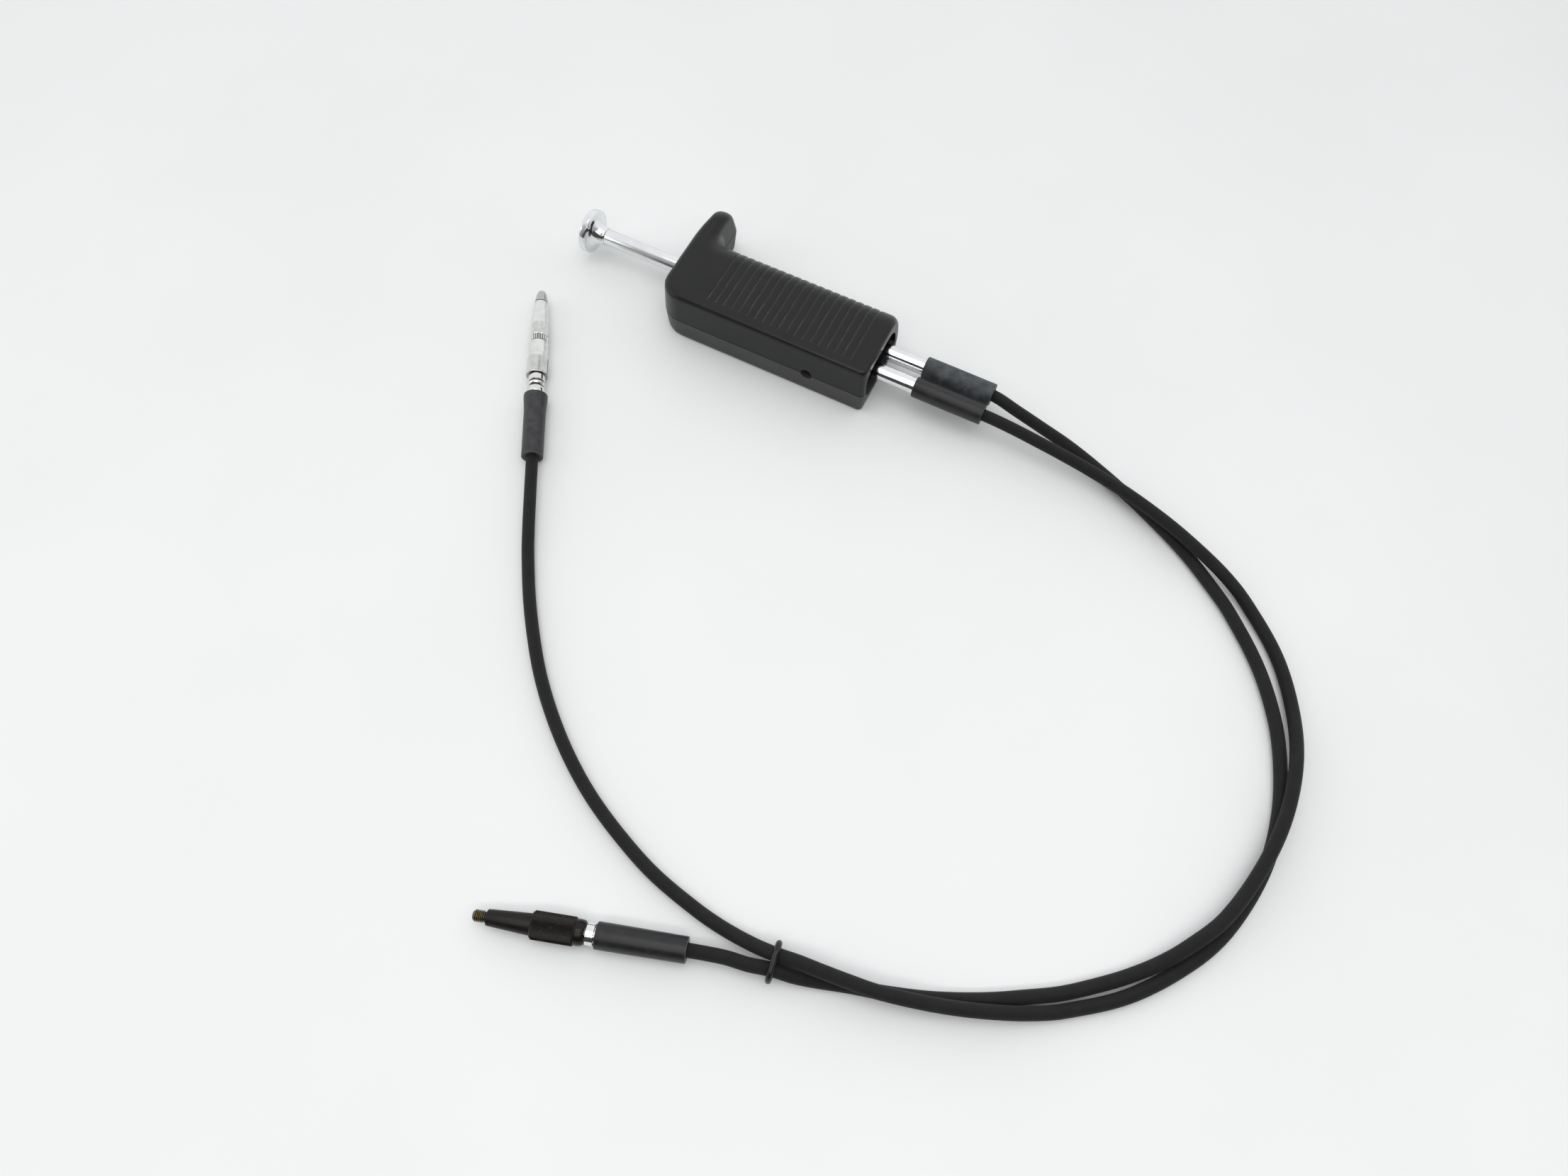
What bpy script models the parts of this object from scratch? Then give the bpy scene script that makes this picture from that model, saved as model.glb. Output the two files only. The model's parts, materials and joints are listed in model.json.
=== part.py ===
"""Double cable shutter release: a hooked grip whose plunger works two braided cables.

The pieces are placed in the grip's own frame, in metres: X runs from the plunger to the
cables, Y across the grip towards the tip of the finger hook, and Z up from the face that the
grip lies on, with the corner of the grip at the origin. One empty carries that frame, so that
the world's origin is under the middle of the grip, plunger and cable sleeves.
"""

import math

import bmesh
import bpy
from mathutils import Matrix, Vector
from mathutils.geometry import interpolate_bezier

# Fits between neighbouring pieces
CLEARANCE = 0.0003
SLEEVE_FIT = 0.0002
SHELL_SEAM = 0.0003

# Grip housing, in plan at the parting line
GRIP_LENGTH = 0.0752
GRIP_WIDTH = 0.0294
GRIP_HEIGHT = 0.0200
PARTING_HEIGHT = 0.0084
SIDE_WALL = 0.0022
FLOOR_WALL = 0.0020
FRONT_WALL = 0.0030
END_WALL = 0.0020
HEEL_RADIUS = 0.0078
MOUTH_NEAR_RADIUS = 0.0015
MOUTH_FAR_RADIUS = 0.0030
MOUTH_MARGIN = 0.0036
MOUTH_FAR_MARGIN = 0.0044
MOUTH_CORNER_SHARE = 0.43
ROOM_CORNER_RADIUS = 0.0010

# Draft and rounded edges of the grip's sides
WALL_DRAFT = 0.04
TIP_DRAFT = 0.24
EDGE_RADIUS = 0.0010
FRONT_EDGE_RADIUS = 0.0022
FINGER_EDGE_RADIUS = 0.0080
FINGER_FOOT_RADIUS = 0.0030
HOOK_EDGE_RADIUS = 0.0022
TIP_EDGE_RADIUS = 0.0060
TIP_FOOT_RADIUS = 0.0024

# Finger hook
HOOK_REACH = 0.0147
HOOK_WIDTH = 0.0075
HOOK_LEAN = 0.0022
HOOK_BEND_RADIUS = 0.0300
HOOK_TIP_RADIUS = 0.0029
HOOK_ROOT_RADIUS = 0.0050

# Ribs: notches between rounded ridges, faint across the top and deep round the finger side
RIB_PITCH = 0.00282
RIB_START = 0.0173
RIB_END_MARGIN = 0.0064
NOTCH_WIDTH = 0.0025
NOTCH_DEPTH = 0.00055
TOP_NOTCH_DEPTH = 0.00016
NOTCH_RELIEF = 0.00012
NOTCH_SHOULDER = 0.3
NOTCH_MARGIN = 0.0042

# Plunger and its return
AXIS_HEIGHT = 0.0095
ROD_FROM_FAR_SIDE = 0.0102
ROD_DIAMETER = 0.0054
ROD_REACH = 0.0373
STROKE = 0.0110
STOP_GAP = 0.0005
BUTTON_DIAMETER = 0.0146
BUTTON_LENGTH = 0.0072
BUTTON_RIM = 0.0024
BUTTON_COLLAR_DIAMETER = 0.0062
BUTTON_DISH = 0.0006
SPIGOT_DIAMETER = 0.0030
SPIGOT_LENGTH = 0.0050
BUSH_LENGTH = 0.0070
BUSH_DIAMETER = 0.0084
BUSH_FLANGE = 0.0015
BUSH_FLANGE_DIAMETER = 0.0112
BUSH_RIB = 0.0024
CLIP_THICKNESS = 0.0008
CLIP_DIAMETER = 0.0092
CLIP_SEAT_DIAMETER = 0.0040
CLIP_GAP_ANGLE = math.radians(70)
SPRING_WIRE = 0.0007
SPRING_DIAMETER = 0.0076
SPRING_PITCH = 0.0030
SEAT_THICKNESS = 0.0008
SEAT_DIAMETER = 0.0100
SEAT_RIB = 0.0022
CROSSHEAD_LENGTH = 0.0065
CROSSHEAD_HEIGHT = 0.0068
CROSSHEAD_SOCKET = 0.0028
ROD_TAIL_DIAMETER = 0.0034

# Guide tubes, their clamp and the push pins
CABLE_PITCH = 0.0082
TUBE_DIAMETER = 0.0053
TUBE_BORE = 0.0034
TUBE_REACH = 0.0131
TUBE_IN_SLEEVE = 0.0080
CLAMP_SETBACK = 0.0100
CLAMP_LENGTH = 0.0150
CLAMP_HEIGHT = 0.0090
CLAMP_OVERHANG = 0.0055
CLAMP_CORNER_RADIUS = 0.0010
SADDLE_RIB = 0.0020
SADDLE_INSET = 0.0015
SIDE_HOLE_FROM_END = 0.0202
SIDE_HOLE_DIAMETER = 0.0040
SET_SCREW_DIAMETER = 0.0030
SET_SCREW_SOCKET = 0.0014
PUSH_PIN_DIAMETER = 0.0024
PUSH_PIN_BORE = 0.0014
PUSH_PIN_IN_TUBE = 0.0047
WIRE_ENGAGEMENT = 0.0025

# Shell screws
SCREW_HEAD_DIAMETER = 0.0046
SCREW_HEAD_HEIGHT = 0.0018
SCREW_HEAD_DEPTH = 0.0006
SCREW_SHANK_DIAMETER = 0.0022
SCREW_REACH = 0.0070
SCREW_BOSS_DIAMETER = 0.0056
SCREW_BOSS_FROM_WALL = 0.0024
FRONT_SCREW_FROM_FRONT = 0.0200
REAR_SCREW_FROM_END = 0.0058

# Cables and the sleeves on the guide tubes
CABLE_DIAMETER = 0.0038
JACKET_WALL = 0.00045
CONDUIT_DIAMETER = 0.0022
CONDUIT_WALL = 0.0004
WIRE_DIAMETER = 0.0008
CABLE_POINT_SPACING = 0.0120
SLEEVE_LENGTH = 0.0235
SILVER_GRIP_SLEEVE_DIAMETER = 0.0074
BLACK_GRIP_SLEEVE_DIAMETER = 0.0068
SLEEVE_EDGE = 0.0004
RING_SECTION = 0.0017
RING_SLACK = 0.0003

# Silver connector, measured from the end of its rubber sleeve towards the tip
SILVER_PLACE = (-0.0092, -0.0643)
SILVER_HEADING = math.radians(119.2)
SILVER_SLEEVE_LENGTH = 0.0231
SILVER_SLEEVE_DIAMETER = 0.0069
SILVER_SLEEVE_MOUTH_DIAMETER = 0.0077
SILVER_NECK_DIAMETER = 0.0054
SILVER_NECK = 0.0031
SILVER_BEAD = 0.0019
SILVER_BEAD_DIAMETER = 0.0055
SILVER_COLLAR = 0.0014
SILVER_COLLAR_DIAMETER = 0.0053
SILVER_REAR_KNURL = 0.0076
SILVER_REAR_KNURL_DIAMETER = 0.0072
SILVER_BARREL = 0.0067
SILVER_BARREL_DIAMETER = 0.0062
SILVER_BAND = 0.0021
SILVER_BAND_DIAMETER = 0.0058
SILVER_FRONT_KNURL = 0.0051
SILVER_FRONT_KNURL_DIAMETER = 0.0060
SILVER_TAPER = 0.0091
SILVER_TAPER_DIAMETER = 0.0056
SILVER_NOSE_DIAMETER = 0.0045
SILVER_TIP = 0.0047
SILVER_TIP_DIAMETER = 0.0023

# Black connector, measured the same way
BLACK_PLACE = (0.1057, -0.1719)
BLACK_HEADING = math.radians(-162.1)
BLACK_SLEEVE_LENGTH = 0.0241
BLACK_SLEEVE_DIAMETER = 0.0072
BLACK_NECK_DIAMETER = 0.0060
BLACK_NECK = 0.0026
BLACK_DOME = 0.0030
BLACK_DOME_DIAMETER = 0.0069
BLACK_KNURL = 0.0115
BLACK_KNURL_DIAMETER = 0.0075
BLACK_CONE = 0.0121
BLACK_CONE_DIAMETER = 0.0058
BLACK_CONE_END_DIAMETER = 0.0043
BLACK_GROOVE = 0.0006
BLACK_GROOVE_DIAMETER = 0.0027
THREAD_LENGTH = 0.0031
THREAD_DIAMETER = 0.0032

# Inside both connectors
FERRULE_DIAMETER = 0.0048
FERRULE_IN_SLEEVE = 0.0158
FERRULE_BORE = 0.0028
FERRULE_SPIGOT = 0.0063
FERRULE_SPIGOT_DIAMETER = 0.0040
PIN_TAIL_DIAMETER = 0.0020
PIN_TAIL_BORE = 0.0013
PIN_DIAMETER = 0.0010
PIN_BORE_DIAMETER = 0.0028
PIN_HOLE_DIAMETER = 0.0015
PIN_RECESS = 0.0004
PIN_STOP = 0.0040
KNURL_CHAMFER = 0.0004

# Cable routes from the grip's sleeves to the connectors, in the grip's frame
RING_ON_SILVER_CABLE = (0.1267, -0.1625, 0.0050)
RING_ON_BLACK_CABLE = (0.1273, -0.1664, 0.0040)
SILVER_ROUTE = [
    (0.1207, 0.0178, 0.0086), (0.1297, 0.0171, 0.0065), (0.1397, 0.0162, 0.0042),
    (0.1497, 0.0140, 0.0025), (0.1622, 0.0094, 0.00195), (0.1757, 0.0031, 0.00195),
    (0.1860, -0.0025, 0.00195), (0.1957, -0.0091, 0.00195), (0.2033, -0.0150, 0.00195),
    (0.2157, -0.0277, 0.00195), (0.2245, -0.0408, 0.00195), (0.2297, -0.0527, 0.00195),
    (0.2335, -0.0673, 0.00195), (0.2343, -0.0833, 0.00195), (0.2307, -0.1015, 0.00195),
    (0.2249, -0.1142, 0.00195), (0.2129, -0.1299, 0.00195), (0.1984, -0.1416, 0.0022),
    (0.1902, -0.1464, 0.0034), (0.1821, -0.1502, 0.0047), (0.1735, -0.1536, 0.0055),
    (0.1648, -0.1564, 0.0060), (0.1542, -0.1591, 0.0062), (0.1469, -0.1602, 0.0062),
    (0.1378, -0.1613, 0.0064), (0.1325, -0.1618, 0.0058), RING_ON_SILVER_CABLE,
    (0.1202, -0.1630, 0.0034), (0.1115, -0.1628, 0.0023), (0.1027, -0.1618, 0.00195),
    (0.0881, -0.1588, 0.00195), (0.0753, -0.1543, 0.00195), (0.0630, -0.1487, 0.00195),
    (0.0523, -0.1423, 0.00195), (0.0425, -0.1350, 0.00195), (0.0333, -0.1268, 0.00195),
    (0.0256, -0.1185, 0.00195), (0.0160, -0.1064, 0.00195), (0.0074, -0.0937, 0.0021),
    (0.0028, -0.0859, 0.0027), (-0.0031, -0.0752, 0.0036),
]
BLACK_ROUTE = [
    (0.1207, 0.0108, 0.0092), (0.1297, 0.0104, 0.0085), (0.1397, 0.0098, 0.0077),
    (0.1497, 0.0088, 0.0070), (0.1622, 0.0066, 0.0066), (0.1763, 0.0027, 0.0063),
    (0.1874, -0.0013, 0.0058), (0.1982, -0.0053, 0.0040), (0.2067, -0.0100, 0.0024),
    (0.2199, -0.0224, 0.00195), (0.2286, -0.0374, 0.0029), (0.2328, -0.0522, 0.0052),
    (0.2341, -0.0687, 0.0063), (0.2324, -0.0848, 0.0062), (0.2277, -0.1018, 0.0055),
    (0.2215, -0.1128, 0.0043), (0.2166, -0.1195, 0.0031), (0.2099, -0.1266, 0.0022),
    (0.2033, -0.1324, 0.00195), (0.1962, -0.1380, 0.00195), (0.1885, -0.1428, 0.00195),
    (0.1811, -0.1472, 0.00195), (0.1731, -0.1513, 0.00195), (0.1649, -0.1549, 0.00195),
    (0.1544, -0.1586, 0.00195), (0.1471, -0.1607, 0.00195), (0.1381, -0.1637, 0.0023),
    (0.1330, -0.1652, 0.0030), RING_ON_BLACK_CABLE, (0.1213, -0.1680, 0.0041),
    (0.1152, -0.1691, 0.0039),
]

# Places along the grip, worked out from the sizes above
ROD_OFFSET = GRIP_WIDTH - ROD_FROM_FAR_SIDE
CLAMP_START = GRIP_LENGTH - CLAMP_SETBACK - CLAMP_LENGTH
CLAMP_END = GRIP_LENGTH - CLAMP_SETBACK
CROSSHEAD_END = CLAMP_START - STOP_GAP - STROKE
CROSSHEAD_START = CROSSHEAD_END - CROSSHEAD_LENGTH
SEAT_RIB_END = CROSSHEAD_START - CLEARANCE - STOP_GAP
SEAT_RIB_START = SEAT_RIB_END - SEAT_RIB
SEAT_START = SEAT_RIB_START - CLEARANCE - SEAT_THICKNESS
BUSH_START = FRONT_WALL + CLEARANCE
BUSH_END = BUSH_START + BUSH_LENGTH
BUSH_RIB_START = BUSH_START + BUSH_FLANGE + CLEARANCE
BUSH_RIB_END = BUSH_RIB_START + BUSH_RIB
CLIP_START = BUSH_END + CLEARANCE
CLIP_END = CLIP_START + CLIP_THICKNESS
SPRING_START = CLIP_END + CLEARANCE + SPRING_WIRE / 2
SPRING_END = SEAT_START - CLEARANCE - SPRING_WIRE / 2
TUBE_START = CLAMP_START + CLEARANCE
SLEEVE_START = GRIP_LENGTH + TUBE_REACH
TUBE_END = SLEEVE_START + TUBE_IN_SLEEVE
SLEEVE_END = SLEEVE_START + SLEEVE_LENGTH
PUSH_PIN_START = CROSSHEAD_END - CROSSHEAD_SOCKET + CLEARANCE
PUSH_PIN_END = TUBE_START + PUSH_PIN_IN_TUBE
WIRE_START = PUSH_PIN_END - WIRE_ENGAGEMENT
PUSH_PIN_BORE_END = WIRE_START - STROKE - CLEARANCE
CONDUIT_START = PUSH_PIN_END + STROKE + CLEARANCE
SILVER_AXIS = Vector((0, ROD_OFFSET, AXIS_HEIGHT))
BLACK_AXIS = Vector((0, ROD_OFFSET - CABLE_PITCH, AXIS_HEIGHT))

# Sides of the grip: their drafts, and the rounded edges at the top and at the foot
DRAFTS = {"near": WALL_DRAFT, "front": WALL_DRAFT, "end": WALL_DRAFT, "far": 0,
          "hook": WALL_DRAFT, "tip": TIP_DRAFT}
TOP_EDGES = {"near": EDGE_RADIUS, "front": FRONT_EDGE_RADIUS, "end": EDGE_RADIUS,
             "far": FINGER_EDGE_RADIUS, "hook": HOOK_EDGE_RADIUS, "tip": TIP_EDGE_RADIUS}
FOOT_EDGES = {"near": EDGE_RADIUS, "front": EDGE_RADIUS, "end": EDGE_RADIUS,
              "far": FINGER_FOOT_RADIUS, "hook": HOOK_EDGE_RADIUS, "tip": TIP_FOOT_RADIUS}

# Turns that bring a piece's own Z onto the grip's X, and an outline's XY onto its YZ
ALONG_X = (0, math.radians(90), 0)
ACROSS_X = (math.radians(90), 0, math.radians(90))
TOP_EDGE_STEPS = 7
FOOT_EDGE_STEPS = 3
ROUND_STEPS = 20
SMALL_STEPS = 12
ARC_STEP = math.radians(18)
TINY = 0.000001


def clear_scene():
    """Remove whatever the file holds, so that only the release is left."""
    for item in list(bpy.data.objects):
        bpy.data.objects.remove(item, do_unlink=True)


def new_group(name):
    """Make a collection in the scene."""
    group = bpy.data.collections.new(name)
    bpy.context.scene.collection.children.link(group)
    return group


clear_scene()
PARTS = new_group("cable_shutter_release")
CUTTERS = new_group("cutters")


def finish(name, colour, roughness, metallic):
    """Make a plain material."""
    material = bpy.data.materials.new(name)
    material.use_nodes = True
    shader = material.node_tree.nodes["Principled BSDF"]
    shader.inputs["Base Color"].default_value = (*colour, 1)
    shader.inputs["Roughness"].default_value = roughness
    shader.inputs["Metallic"].default_value = metallic
    return material


GRIP_PLASTIC = finish("grip_plastic", (0.035, 0.035, 0.036), 0.45, 0)
CHROME = finish("chrome", (0.80, 0.80, 0.81), 0.08, 1)
SATIN_SILVER = finish("satin_silver", (0.66, 0.66, 0.64), 0.35, 1)
STEEL = finish("steel", (0.55, 0.55, 0.56), 0.30, 1)
BRASS = finish("brass", (0.60, 0.45, 0.20), 0.35, 1)
BLACKED_BRASS = finish("blacked_brass", (0.045, 0.038, 0.034), 0.40, 0.6)
RUBBER = finish("rubber", (0.030, 0.031, 0.034), 0.60, 0)
BRAID = finish("braid", (0.022, 0.020, 0.021), 0.85, 0)


def empty(name, parent, location, rotation=(0, 0, 0)):
    """Make an empty that carries a frame."""
    frame = bpy.data.objects.new(name, None)
    PARTS.objects.link(frame)
    frame.parent = parent
    frame.location = location
    frame.rotation_euler = rotation
    return frame


GRIP_FRAME = empty(
    "grip_frame", None,
    ((ROD_REACH - SLEEVE_END) / 2, -(GRIP_WIDTH + HOOK_REACH) / 2, 0),
)
PLUNGER_FRAME = empty("plunger_frame", GRIP_FRAME, SILVER_AXIS)
SILVER_FRAME = empty(
    "silver_frame", GRIP_FRAME, (*SILVER_PLACE, SILVER_SLEEVE_MOUTH_DIAMETER / 2),
    (0, math.radians(90), SILVER_HEADING),
)
BLACK_FRAME = empty(
    "black_frame", GRIP_FRAME, (*BLACK_PLACE, BLACK_KNURL_DIAMETER / 2),
    (0, math.radians(90), BLACK_HEADING),
)


def place(name, data, material, parent, location=(0, 0, 0), rotation=(0, 0, 0)):
    """Put a finished piece into the release."""
    piece = bpy.data.objects.new(name, data)
    PARTS.objects.link(piece)
    data.materials.append(material)
    piece.parent = parent
    piece.location = location
    piece.rotation_euler = rotation
    return piece


def place_cutter(name, data, location=(0, 0, 0), rotation=(0, 0, 0)):
    """Put a cutter into the grip's frame, out of sight."""
    cutter = bpy.data.objects.new(name, data)
    CUTTERS.objects.link(cutter)
    cutter.parent = GRIP_FRAME
    cutter.location = location
    cutter.rotation_euler = rotation
    cutter.hide_render = True
    cutter.display_type = "WIRE"
    return cutter


def boolean(piece, other, operation="DIFFERENCE"):
    """Cut a piece by another, or join another to it."""
    step = piece.modifiers.new(other.name, "BOOLEAN")
    step.operation = operation
    step.solver = "EXACT"
    step.object = other


def smooth(mesh, angle=35):
    """Shade a round piece smooth, with its edges kept sharp."""
    mesh.shade_smooth()
    mesh.set_sharp_from_angle(angle=math.radians(angle))


def rounded_outline(corners):
    """Points of a closed outline whose corners (x, y, radius) are arcs."""
    points = []
    for index, (x, y, radius) in enumerate(corners):
        corner = Vector((x, y))
        before = (Vector(corners[index - 1][:2]) - corner).normalized()
        after = (Vector(corners[(index + 1) % len(corners)][:2]) - corner).normalized()
        half_angle = before.angle(after) / 2
        inset = radius / math.tan(half_angle)
        centre = corner + (before + after).normalized() * (radius / math.sin(half_angle))
        first = corner + before * inset - centre
        last = corner + after * inset - centre
        begin = math.atan2(first.y, first.x)
        turn = (math.atan2(last.y, last.x) - begin + math.pi) % math.tau - math.pi
        steps = max(1, round(abs(turn) / ARC_STEP))
        for step in range(steps + 1):
            angle = begin + turn * step / steps
            points.append(centre + radius * Vector((math.cos(angle), math.sin(angle))))
    return points


def rectangle(left, low, right, high, radius):
    """Corners of an upright rectangle, all with one radius."""
    return [(left, low, radius), (right, low, radius), (right, high, radius), (left, high, radius)]


def extruded(name, outline, low, high):
    """Mesh of a flat outline given a thickness, from low to high along its own Z."""
    curve = bpy.data.curves.new(name, "CURVE")
    curve.dimensions = "2D"
    curve.fill_mode = "BOTH"
    curve.extrude = (high - low) / 2
    spline = curve.splines.new("POLY")
    spline.points.add(len(outline) - 1)
    for knot, point in zip(spline.points, outline):
        knot.co = (point.x, point.y, 0, 1)
    spline.use_cyclic_u = True
    flat = bpy.data.objects.new(name, curve)
    CUTTERS.objects.link(flat)
    depsgraph = bpy.context.evaluated_depsgraph_get()
    mesh = bpy.data.meshes.new_from_object(flat.evaluated_get(depsgraph))
    bpy.data.objects.remove(flat, do_unlink=True)
    bm = bmesh.new()
    bm.from_mesh(mesh)
    bmesh.ops.remove_doubles(bm, verts=bm.verts, dist=TINY)
    bmesh.ops.dissolve_limit(bm, angle_limit=math.radians(1), verts=bm.verts, edges=bm.edges)
    bmesh.ops.recalc_face_normals(bm, faces=bm.faces)
    bmesh.ops.translate(bm, verts=bm.verts, vec=(0, 0, (low + high) / 2))
    bm.to_mesh(mesh)
    bm.free()
    return mesh


def lofted(name, rings):
    """Mesh of a solid through flat outlines of as many points each, given with their heights."""
    bm = bmesh.new()
    loops = [[bm.verts.new((point.x, point.y, height)) for point in outline] for outline, height in rings]
    for loop, following in zip(loops, loops[1:]):
        for index in range(len(loop)):
            bm.faces.new((loop[index - 1], loop[index], following[index], following[index - 1]))
    bm.faces.new(loops[0])
    bm.faces.new(loops[-1])
    bmesh.ops.recalc_face_normals(bm, faces=bm.faces)
    mesh = bpy.data.meshes.new(name)
    bm.to_mesh(mesh)
    bm.free()
    return mesh


def boxes(name, spans):
    """Mesh of separate boxes, each given by its low and high corners."""
    bm = bmesh.new()
    for low, high in spans:
        low, high = Vector(low), Vector(high)
        size = Matrix.Diagonal((*(high - low), 1))
        bmesh.ops.create_cube(bm, size=1, matrix=Matrix.Translation((low + high) / 2) @ size)
    mesh = bpy.data.meshes.new(name)
    bm.to_mesh(mesh)
    bm.free()
    return mesh


def rods(name, spans, diameter, sides=ROUND_STEPS):
    """Mesh of separate round rods, each given by the two ends of its axis."""
    bm = bmesh.new()
    for start, end in spans:
        start, end = Vector(start), Vector(end)
        axis = end - start
        turn = Vector((0, 0, 1)).rotation_difference(axis).to_matrix().to_4x4()
        bmesh.ops.create_cone(
            bm, cap_ends=True, segments=sides, radius1=diameter / 2, radius2=diameter / 2,
            depth=axis.length, matrix=Matrix.Translation((start + end) / 2) @ turn,
        )
    mesh = bpy.data.meshes.new(name)
    bm.to_mesh(mesh)
    bm.free()
    return mesh


def turned(name, profile, material, parent, location=(0, 0, 0), rotation=(0, 0, 0),
           steps=ROUND_STEPS):
    """A piece turned about its own Z from (height, radius) points.

    The points run down the outer side. A profile that doesn't end on the axis is closed, so
    that its last points are the bore, upwards.
    """
    bm = bmesh.new()
    knots = [bm.verts.new((radius, 0, height)) for height, radius in profile]
    for upper, lower in zip(knots, knots[1:]):
        bm.edges.new((upper, lower))
    if profile[0][1] > 0:
        bm.edges.new((knots[-1], knots[0]))
    mesh = bpy.data.meshes.new(name)
    bm.to_mesh(mesh)
    bm.free()
    piece = place(name, mesh, material, parent, location, rotation)
    screw = piece.modifiers.new("turn", "SCREW")
    screw.axis = "Z"
    screw.steps = steps
    screw.render_steps = steps
    screw.use_merge_vertices = True
    screw.merge_threshold = TINY
    screw.use_smooth_shade = True
    return piece


def chamfered(low, high, radius, chamfer=KNURL_CHAMFER):
    """Outer side of a plain cylinder with chamfered ends, from its top down."""
    return [(high, radius - chamfer), (high - chamfer, radius),
            (low + chamfer, radius), (low, radius - chamfer)]


# Grip shells


def grip_corners(height, face, edges):
    """Plan of the grip at a height, anticlockwise from the heel, between the parting and a face."""
    drawn = {}
    for side, radius in edges.items():
        drop = max(0, radius - abs(face - height))
        rounding = radius - math.sqrt(radius * radius - drop * drop)
        drawn[side] = DRAFTS[side] * abs(height - PARTING_HEIGHT) + rounding
    near = drawn["near"]
    front = drawn["front"]
    end = GRIP_LENGTH - drawn["end"]
    far = GRIP_WIDTH - drawn["far"]
    hook_inner = HOOK_WIDTH - drawn["hook"]
    hook_tip = GRIP_WIDTH + HOOK_REACH - drawn["tip"]
    hook_outer = front + HOOK_LEAN * (hook_tip - GRIP_WIDTH) / HOOK_REACH
    tip_radius = min(HOOK_TIP_RADIUS, 0.45 * (hook_inner - hook_outer))
    return [
        (front, near, HEEL_RADIUS),
        (end, near, MOUTH_NEAR_RADIUS),
        (end, far, MOUTH_FAR_RADIUS),
        (hook_inner, far, HOOK_ROOT_RADIUS),
        (hook_inner, hook_tip, tip_radius),
        (hook_outer, hook_tip, tip_radius),
        (front, GRIP_WIDTH, HOOK_BEND_RADIUS),
    ]


def room_outline(near):
    """Section of a room inside the grip, which keeps to the rounded finger side."""
    far = GRIP_WIDTH - SIDE_WALL
    roof = GRIP_HEIGHT - FLOOR_WALL
    return rounded_outline([
        (near, FLOOR_WALL, ROOM_CORNER_RADIUS), (far, FLOOR_WALL, ROOM_CORNER_RADIUS),
        (far, roof, FINGER_EDGE_RADIUS - SIDE_WALL), (near, roof, ROOM_CORNER_RADIUS),
    ])


def chamber_cutters():
    """Rooms inside the shells, with a rib left between each and the next."""
    saddle = SADDLE_INSET + SADDLE_RIB
    rooms = {
        "bush_room": (FRONT_WALL, BUSH_RIB_START, HEEL_RADIUS),
        "spring_room": (BUSH_RIB_END, SEAT_RIB_START, SIDE_WALL),
        "crosshead_room": (SEAT_RIB_END, CLAMP_START + SADDLE_INSET, SIDE_WALL),
        "clamp_room": (CLAMP_START + saddle, CLAMP_END - saddle, SIDE_WALL),
        "mouth_room": (CLAMP_END - SADDLE_INSET, GRIP_LENGTH - END_WALL, SIDE_WALL),
    }
    return [
        place_cutter(name, extruded(name, room_outline(near), start, end), rotation=ACROSS_X)
        for name, (start, end, near) in rooms.items()
    ]


def clamp_pocket_cutter():
    """Seat of the tube clamp in the saddle ribs."""
    half = CLAMP_HEIGHT / 2 + CLEARANCE
    far = ROD_OFFSET + CLAMP_OVERHANG + CLEARANCE
    low = (CLAMP_START - CLEARANCE, SIDE_WALL, AXIS_HEIGHT - half)
    high = (CLAMP_END + CLEARANCE, far, AXIS_HEIGHT + half)
    return place_cutter("clamp_pocket", boxes("clamp_pocket", [(low, high)]))


def rod_hole_cutter():
    """Way of the rod through the front wall and the spring's rib."""
    spans = [(SILVER_AXIS - Vector((FRONT_WALL, 0, 0)), SILVER_AXIS + Vector((CROSSHEAD_START, 0, 0)))]
    return place_cutter("rod_hole", rods("rod_hole", spans, ROD_DIAMETER + 2 * CLEARANCE))


def bush_hole_cutter():
    """Seat of the guide bush in its rib."""
    start = SILVER_AXIS + Vector((BUSH_START, 0, 0))
    end = SILVER_AXIS + Vector((BUSH_END, 0, 0))
    return place_cutter("bush_hole", rods("bush_hole", [(start, end)], BUSH_DIAMETER + 2 * CLEARANCE))


def mouth_cutter():
    """Open end of the grip, a rounded rectangle that the tubes come out of."""
    top = GRIP_HEIGHT - MOUTH_MARGIN
    outline = rounded_outline(rectangle(
        SIDE_WALL, MOUTH_MARGIN, GRIP_WIDTH - MOUTH_FAR_MARGIN, top,
        MOUTH_CORNER_SHARE * (top - MOUTH_MARGIN),
    ))
    mesh = extruded("mouth", outline, GRIP_LENGTH - 2 * END_WALL, GRIP_LENGTH + END_WALL)
    return place_cutter("mouth", mesh, rotation=ACROSS_X)


def side_hole_cutter():
    """Hole on the parting line that a screwdriver goes through to the set screw."""
    across = GRIP_LENGTH - SIDE_HOLE_FROM_END
    start = (across, -SIDE_WALL, PARTING_HEIGHT)
    end = (across, 2 * SIDE_WALL, PARTING_HEIGHT)
    return place_cutter("side_hole", rods("side_hole", [(start, end)], SIDE_HOLE_DIAMETER))


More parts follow.
